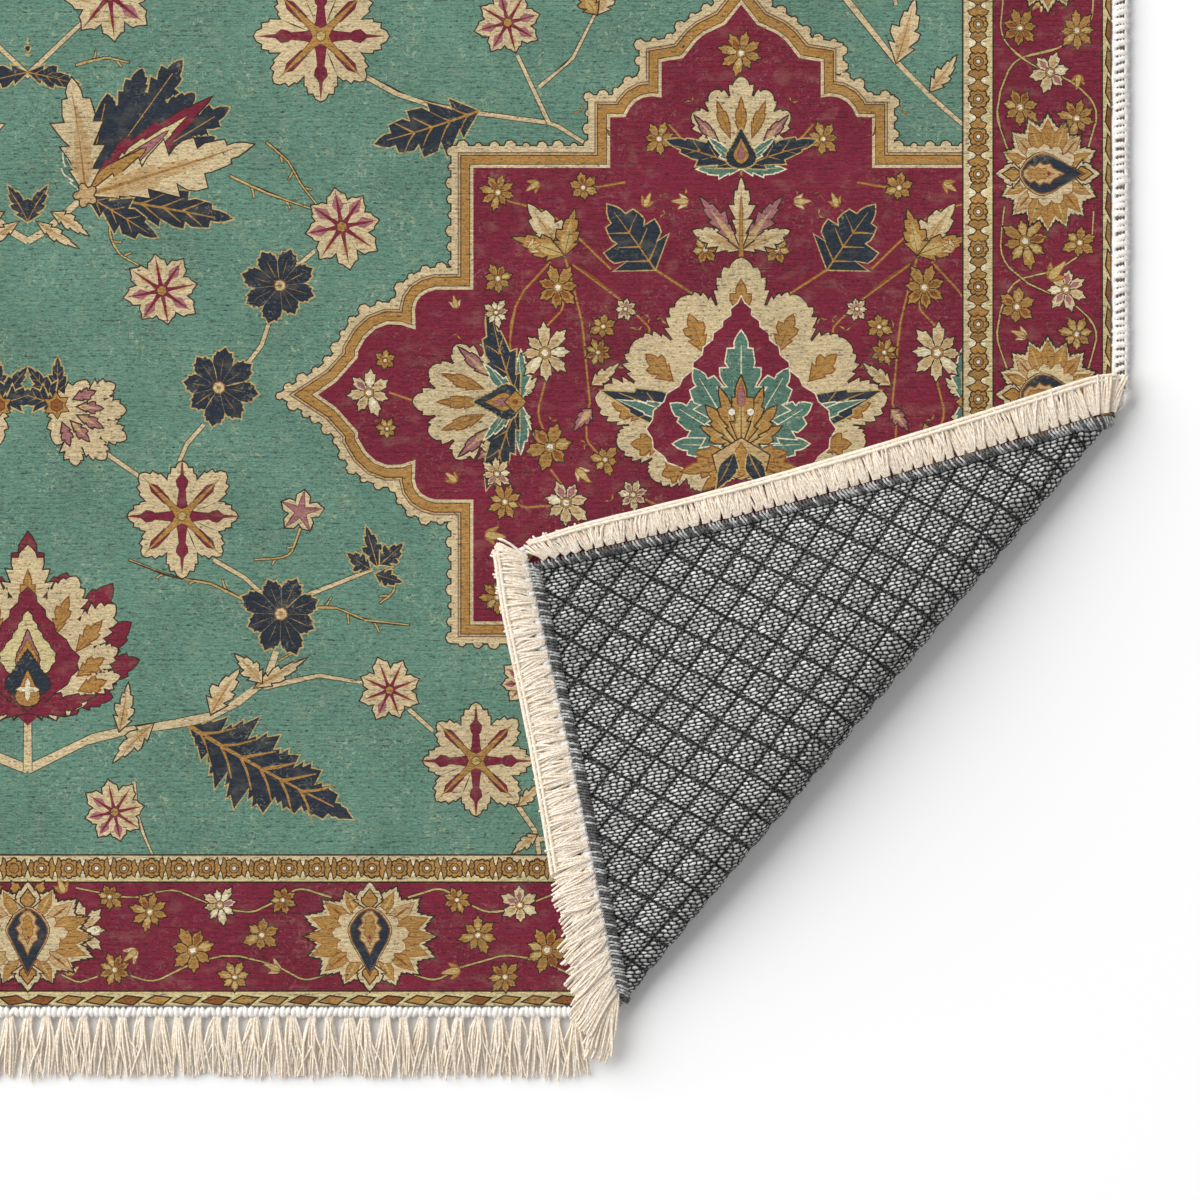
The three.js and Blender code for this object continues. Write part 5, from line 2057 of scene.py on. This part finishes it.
def gap_shade_yarns(sign):
    """Painted shade between the turns: three dark yarns along the edge."""
    made = []
    for x in (EDGE_MIDDLE_X - GAP_SHADE_SPREAD, EDGE_MIDDLE_X, EDGE_MIDDLE_X + GAP_SHADE_SPREAD):
        heights = [-CLOTH_Y + GAP_SHADE_STEP * k for k in range(round(2 * CLOTH_Y / GAP_SHADE_STEP))]
        points = [fold(sign * x, v, WRAP_MIDDLE) for v in heights if turned_share(x, v) < SIDE_SHOWN]
        made.append(Yarn(points, [GAP_SHADE_RADIUS] * len(points), False))
    return made


print("turns along one side:", round(2 * CLOTH_Y / SIDE_PITCH))

# %% [markdown]
# ## Fringe strands
# The fringe is cotton in small tufts. The strands of a tuft leave the header close
# together, part on their way and cross at their tips, and a few are shorter or stray.
# They rest on the floor, so each is lifted only a little in its middle.

# %% Fringe strands
TUFT_PITCH = 7.8
TUFT_ROOT = 3.0
STRAND_LENGTH = 23.2
STRAY_CHANCE = 0.15
SHORT_CHANCE = 0.12


def tuft(u, sign, roll, count):
    """The strands of one knot: tight at the header, wide and crossing at their tips."""
    made = []
    root_v = CLOTH_Y + PART_GAP + HEADER_WIDTH - 1.0
    sway = roll.gauss(0.0, 0.9)
    for k in range(count):
        seat = (k + roll.random()) / count - 0.5
        start = seat * TUFT_ROOT
        stray = roll.gauss(0.0, 1.0) * (2.0 if roll.random() < STRAY_CHANCE else 1.0)
        tip = sway + seat * TUFT_PITCH * 1.3 + stray
        length = STRAND_LENGTH + 1.2 + roll.gauss(0.0, 1.0) - 5.0 * (roll.random() < SHORT_CHANCE)
        curl = roll.gauss(0.0, 0.9)
        lift = roll.uniform(0.4, 3.2)
        points, radii = [], []
        for share in (0.0, 0.2, 0.48, 0.76, 1.0):
            x = u + start + (tip - start) * ease(share) + curl * math.sin(share * math.pi * 1.4)
            y = root_v + length * share
            z = 2.6 * (1 - share) ** 1.5 + lift * math.sin(math.pi * share * 0.8) ** 0.7 + 0.5
            points.append(Vector((x, sign * y, z)))
            radii.append(0.58 * (1.0 - 0.3 * share))
        made.append(Yarn(points, radii, False))
    return made


print("tufts along one end:", round(2 * RUG_X / TUFT_PITCH))

# %% [markdown]
# ## Yarns that splay on the turned corner
# Where the corner is turned over, the edge's yarns lie free on the flap. They stand in
# bundles that fan out round the corner, like feathers. Each bundle has a root on the
# folded edge, a heading across it and a reach. Their looped ends form a smooth roll
# along the band's outer line.

# %% Bundles on the flap
FLAP_SWING = math.radians(34)
FLAP_SWING_DEPTH = 36.0
CORNER_FAN = math.radians(34)
LOW_TURN = 0.2
BUNDLE_REST = FACE_TOP + 0.6
BUNDLE_PROFILE = [
    # share of the length, share of the spread, rise
    (0.0, 0.0, 0.0), (0.25, 0.35, 0.7), (0.58, 0.80, 0.9), (0.86, 1.0, 0.35), (1.0, 1.0, -0.5),
]
OUTER_ROLLS = [
    # share of the reach, rise, radius
    (0.98, 0.75, 0.95), (0.87, 1.35, 0.85),
]
SIDE_BUNDLE_PITCH = 4.3
SIDE_BUNDLE_REACHES = (15.8, 10.2)
END_BUNDLE_PITCH = 6.2
END_SHOWN = 0.45
END_ROLL_LOWNESS = 0.35


def edge_heading(u, v, du, dv):
    """Where a short step across the edge points once the cloth is folded."""
    inner = fold(u, v, FACE_TOP / 2)
    outer = fold(u + du, v + dv, FACE_TOP / 2)
    return math.atan2(outer.y - inner.y, outer.x - inner.x)


def level_way(heading):
    return Vector((math.cos(heading), math.sin(heading), 0.0))


def bundle_level(root):
    """The height at which a bundle leaves its root, never inside the face."""
    return max(root.z + 0.4, BUNDLE_REST + 0.6)


def bundle(root, heading, reach, width, count, roll, pinch, lift, bend, wave=0.3):
    """Strands that leave a root together, spread until bundles touch, and roll down over their end."""
    made = []
    outward = level_way(heading)
    sideways = Vector((-outward.y, outward.x, 0.0))
    level = bundle_level(root) + lift
    for k in range(count):
        seat = (k + 0.5) / count - 0.5
        start = seat * width * pinch + roll.uniform(-0.15, 0.15)
        tip = seat * width * 1.5 + roll.gauss(0.0, wave)
        bow = roll.gauss(0.0, 0.5)
        high = roll.uniform(-1.0, 0.9)
        length = reach * roll.uniform(0.93, 1.04)
        points, radii = [], []
        for share, side, rise in BUNDLE_PROFILE:
            aside = start + (tip - start) * side + bow * math.sin(math.pi * share * 1.5) + bend * share ** 2
            place = root + outward * (length * share)
            place += sideways * aside
            place.z = max(level + rise + high * share, BUNDLE_REST - 0.1)
            points.append(place)
            radii.append(0.60 - 0.14 * share)
        made.append(Yarn(points, radii, False))
    return made


def outer_rolls(line, roll):
    """The looped ends of a band, which lie along its outer line as a smooth roll."""
    made = []
    for reach_share, rise, radius in OUTER_ROLLS:
        points, radii = [], []
        for root, heading, reach in line:
            out = level_way(heading) * (reach * reach_share)
            level = bundle_level(root) + rise + roll.uniform(-0.1, 0.1)
            points.append(Vector((root.x + out.x, root.y + out.y, level)))
            radii.append(radius * roll.uniform(0.9, 1.1))
        made.append(Yarn(points, radii, False))
    return made


def side_bundles(roll):
    """The yarns that splay from the turned part of the right side."""
    made, line = [], []
    root_x = CLOTH_X + PART_GAP + 1.4
    top = FOLD_START.imag - 4.0
    first, last = SIDE_BUNDLE_REACHES
    count = int((top + CLOTH_Y) / SIDE_BUNDLE_PITCH)
    for k in range(count):
        v = top - k * SIDE_BUNDLE_PITCH
        if turned_share(root_x, v) < SIDE_SHOWN:
            continue
        share = k / (count - 1)
        heading = edge_heading(root_x, v, 4, 0) + CORNER_FAN * ease((share - 0.88) / 0.12)
        reach = first + (last - first) * share
        root = fold(root_x, v, FACE_TOP / 2)
        line.append((root, heading, reach))
        made.extend(bundle(root, heading + roll.gauss(0, 0.06), reach, SIDE_BUNDLE_PITCH, 12, roll, 0.58,
                           lift=roll.uniform(-0.5, 0.7), bend=roll.gauss(0.0, 0.9), wave=0.5))
    return made + outer_rolls(line, roll)


def end_bundles(roll):
    """The yarns of the near end where it lies on the flap, in two layers like feathers."""
    made, line = [], []
    root_v = -CLOTH_Y - PART_GAP - 1.6
    pitch = END_BUNDLE_PITCH
    for k in range(int(2 * RUG_X / pitch)):
        u = -RUG_X + (k + 0.5) * pitch
        if turned_share(u, root_v) <= END_SHOWN:
            continue
        fan_turn = CORNER_FAN * ease((u - RUG_X + 45) / 45)
        lowness = math.exp(-roll_turn(u, root_v)[1] / FLAP_SWING_DEPTH)
        heading = edge_heading(u, root_v, 0, -4) + FLAP_SWING * lowness + LOW_TURN * lowness ** 2 - fan_turn
        reach = 13.8 + 11.5 * lowness
        root = fold(u, root_v, FACE_TOP / 2)
        if lowness < END_ROLL_LOWNESS:
            line.append((root, heading, reach))
        low_heading = heading + roll.gauss(0, 0.08 + 0.08 * lowness)
        made.extend(bundle(root, low_heading, reach, pitch, 15, roll, 0.45, lift=roll.uniform(-0.4, 0.9),
                           bend=roll.uniform(0.0, 2.6), wave=0.4 + 0.8 * lowness))
        top_heading = heading - 0.14 + roll.gauss(0, 0.08)
        made.extend(bundle(root, top_heading, reach * 0.85, pitch * 0.6, 6, roll, 0.3, lift=1.2, bend=2.0))
    return made + outer_rolls(line, roll)

# %% [markdown]
# ## The backing's rim
# The backing is overlocked to the face, and its slanting loops show as a thin band
# along the flap's two edges. Each loop climbs over the edge, and light and dark loops
# change at random.

# %% Rim loops and the whole fringe
RIM_PITCH = 1.35
RIM_SHOWN = 0.62
RIM_LOOP = [
    # how far in from the edge, how far along it, and the height, of each point of a loop
    (-1.0, 0.0, 0.6), (0.1, 0.2, -0.75), (1.0, 0.7, -1.25), (1.9, 1.2, -1.0), (2.6, 1.6, -0.1),
]


def rim_loops(seed):
    """The overlocked rim of the backing where it shows: slanting loops over both flap edges."""
    roll = random.Random(seed)
    light, dark = [], []
    tip = complex(CLOTH_X, -CLOTH_Y)
    for inward, along, length in ((-1, 1j, CLOTH_Y + FOLD_START.imag), (1j, -1, CLOTH_X)):
        for k in range(round(length / RIM_PITCH)):
            at = tip + along * k * RIM_PITCH
            if turned_share(at.real, at.imag) < RIM_SHOWN:
                continue
            points = []
            for out, slant, height in RIM_LOOP:
                place = at + inward * out + along * (slant + roll.uniform(-0.2, 0.2))
                points.append(fold(place.real, place.imag, height))
            (dark if roll.random() < 0.5 else light).append(Yarn(points, [0.5] * len(points), False))
    return light, dark


def fringe(sign, seed, count):
    """The loose yarn of one end: its strands on the floor and its bundles on the flap."""
    roll = random.Random(seed)
    made = []
    roots = round(2 * RUG_X / TUFT_PITCH)
    for k in range(roots):
        u = -RUG_X + 2 * RUG_X * (k + 0.5) / roots + roll.gauss(0.0, 0.4)
        if sign > 0 or roll_turn(u + 4, -CLOTH_Y - 3)[0] == 0.0:
            made.extend(tuft(u, sign, roll, count))
    return made + (end_bundles(roll) if sign < 0 else [])

# %% [markdown]
# ## The yarns' finish
# Whipping, fringe and rim are all cotton, so one function makes their finishes. A noise
# mixes a darker tone in at random, and a finer one gives the bump. A small constant glow
# is painted light: it lifts the yarn where the strands shade one another, in place of
# the light that passes through thin cotton.

# %% Yarn finish
def yarn_finish(name, bright, shade, painted_glow=0.0):
    """Yarn a little uneven in tone, with a small painted glow that lightens its shaded parts."""
    cotton = Finish(name, roughness=0.9, sheen=0.15)
    place = cotton.node("ShaderNodeTexCoord", {}, {}, 3)
    tone = cotton.cloud(place, 900.0, 2.0)
    fine = cotton.cloud(place, 3500.0, 2.0)
    cotton.paint(Base_Color=cotton.blend(cotton.between(tone, 0.3, 0.7), tint(shade), tint(bright)))
    cotton.paint(Emission_Color=tint(bright))
    cotton.shader.inputs["Emission Strength"].default_value = painted_glow
    cotton.relief(fine, 0.0004)
    return cotton

# %% [markdown]
# ## Dressing the model
# Every piece rides the rug's one body and takes the place of its plain solid. The face
# is made of four quarters, and the backing is one piece. Both are sheets of cloth.

# %% The two cloths
face_look = face_finish()
bends = fold_lines(2.0)
turned_quarter = quarter(True, bends)
plain_quarter = quarter(False, [])
quarters = [
    dressed_quarter("face_near_right", turned_quarter, 1, 1, face_look),
    dressed_quarter("face_near_left", plain_quarter, -1, 1, face_look),
    dressed_quarter("face_far_right", plain_quarter, 1, -1, face_look),
    dressed_quarter("face_far_left", plain_quarter, -1, -1, face_look),
]
for piece in quarters:
    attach(piece, "root")
    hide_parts("face_cloth")

backing = backing_piece(backing_finish())
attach(backing, "root")
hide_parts("backing_cloth")

# %% [markdown]
# ## Dressing the edges
# The edges are yarn. The white turns, the loose yarns on the flap and the fringe each
# replace a plain solid. The dark yarns of painted shade between the turns and the rim
# loops are extra detail and replace nothing.

# %% The edges and the fringe
# the last number of each yarn finish is its painted glow
white_yarn = yarn_finish("white_yarn", "fdfbf7", "eee8df", 0.07)
fringe_yarn = yarn_finish("fringe_yarn", "fdf4e6", "e6d2b6", 0.06)
# dark yarns that paint shade into the gaps between the white turns
gap_shade_finish = yarn_finish("dark_core", "8e7d70", "5c4d41")
rim_finish = yarn_finish("rim_yarn", "d0d0cd", "7f8080")
rim_shade = yarn_finish("rim_shade", "6a6a6a", "303030")
EDGES = [("binding_left", -1, "side_binding_left"), ("binding_right", 1, "side_binding_right")]
for name, sign, node in EDGES:
    roll = random.Random(sign + 5)
    yarns = side_wraps(sign, roll) + edge_rolls(sign, roll)
    edge_piece = yarn_object(name, yarns, white_yarn)
    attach(edge_piece, "root")
    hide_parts(node)
    if sign > 0:
        loose = yarn_object("binding_right_loose", side_bundles(roll), fringe_yarn)
        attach(loose, "root")
        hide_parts(node)
    gap_shade_piece = yarn_object(name + "_core", gap_shade_yarns(sign), gap_shade_finish)
    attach(gap_shade_piece, "root")
for name, yarns, finish in zip(("rim_light", "rim_dark"), rim_loops(9), (rim_finish, rim_shade)):
    rim = yarn_object(name, yarns, finish)
    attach(rim, "root")
ENDS = [("fringe_far", 1, "end_fringe_far", 13), ("fringe_near", -1, "end_fringe_near", 17)]
for name, sign, node, strands_each in ENDS:
    wraps = header_wraps(sign, random.Random(60 + sign))
    header = yarn_object(name.replace("fringe", "header"), wraps, white_yarn)
    strands = yarn_object(name, fringe(sign, 40 + sign, strands_each), fringe_yarn)
    for piece in (header, strands):
        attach(piece, "root")
        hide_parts(node)

# %% [markdown]
# ## Counting
# The triangles of every shown piece are counted, because a model is only useful if it
# stays light enough to open.

# %% Triangle counts
shown = [piece for piece in bpy.data.objects if piece.type == "MESH" and not piece.hide_render]
counts = {piece.name: sum(len(face.vertices) - 2 for face in piece.data.polygons) for piece in shown}
print("triangles:", counts, "in all", sum(counts.values()))
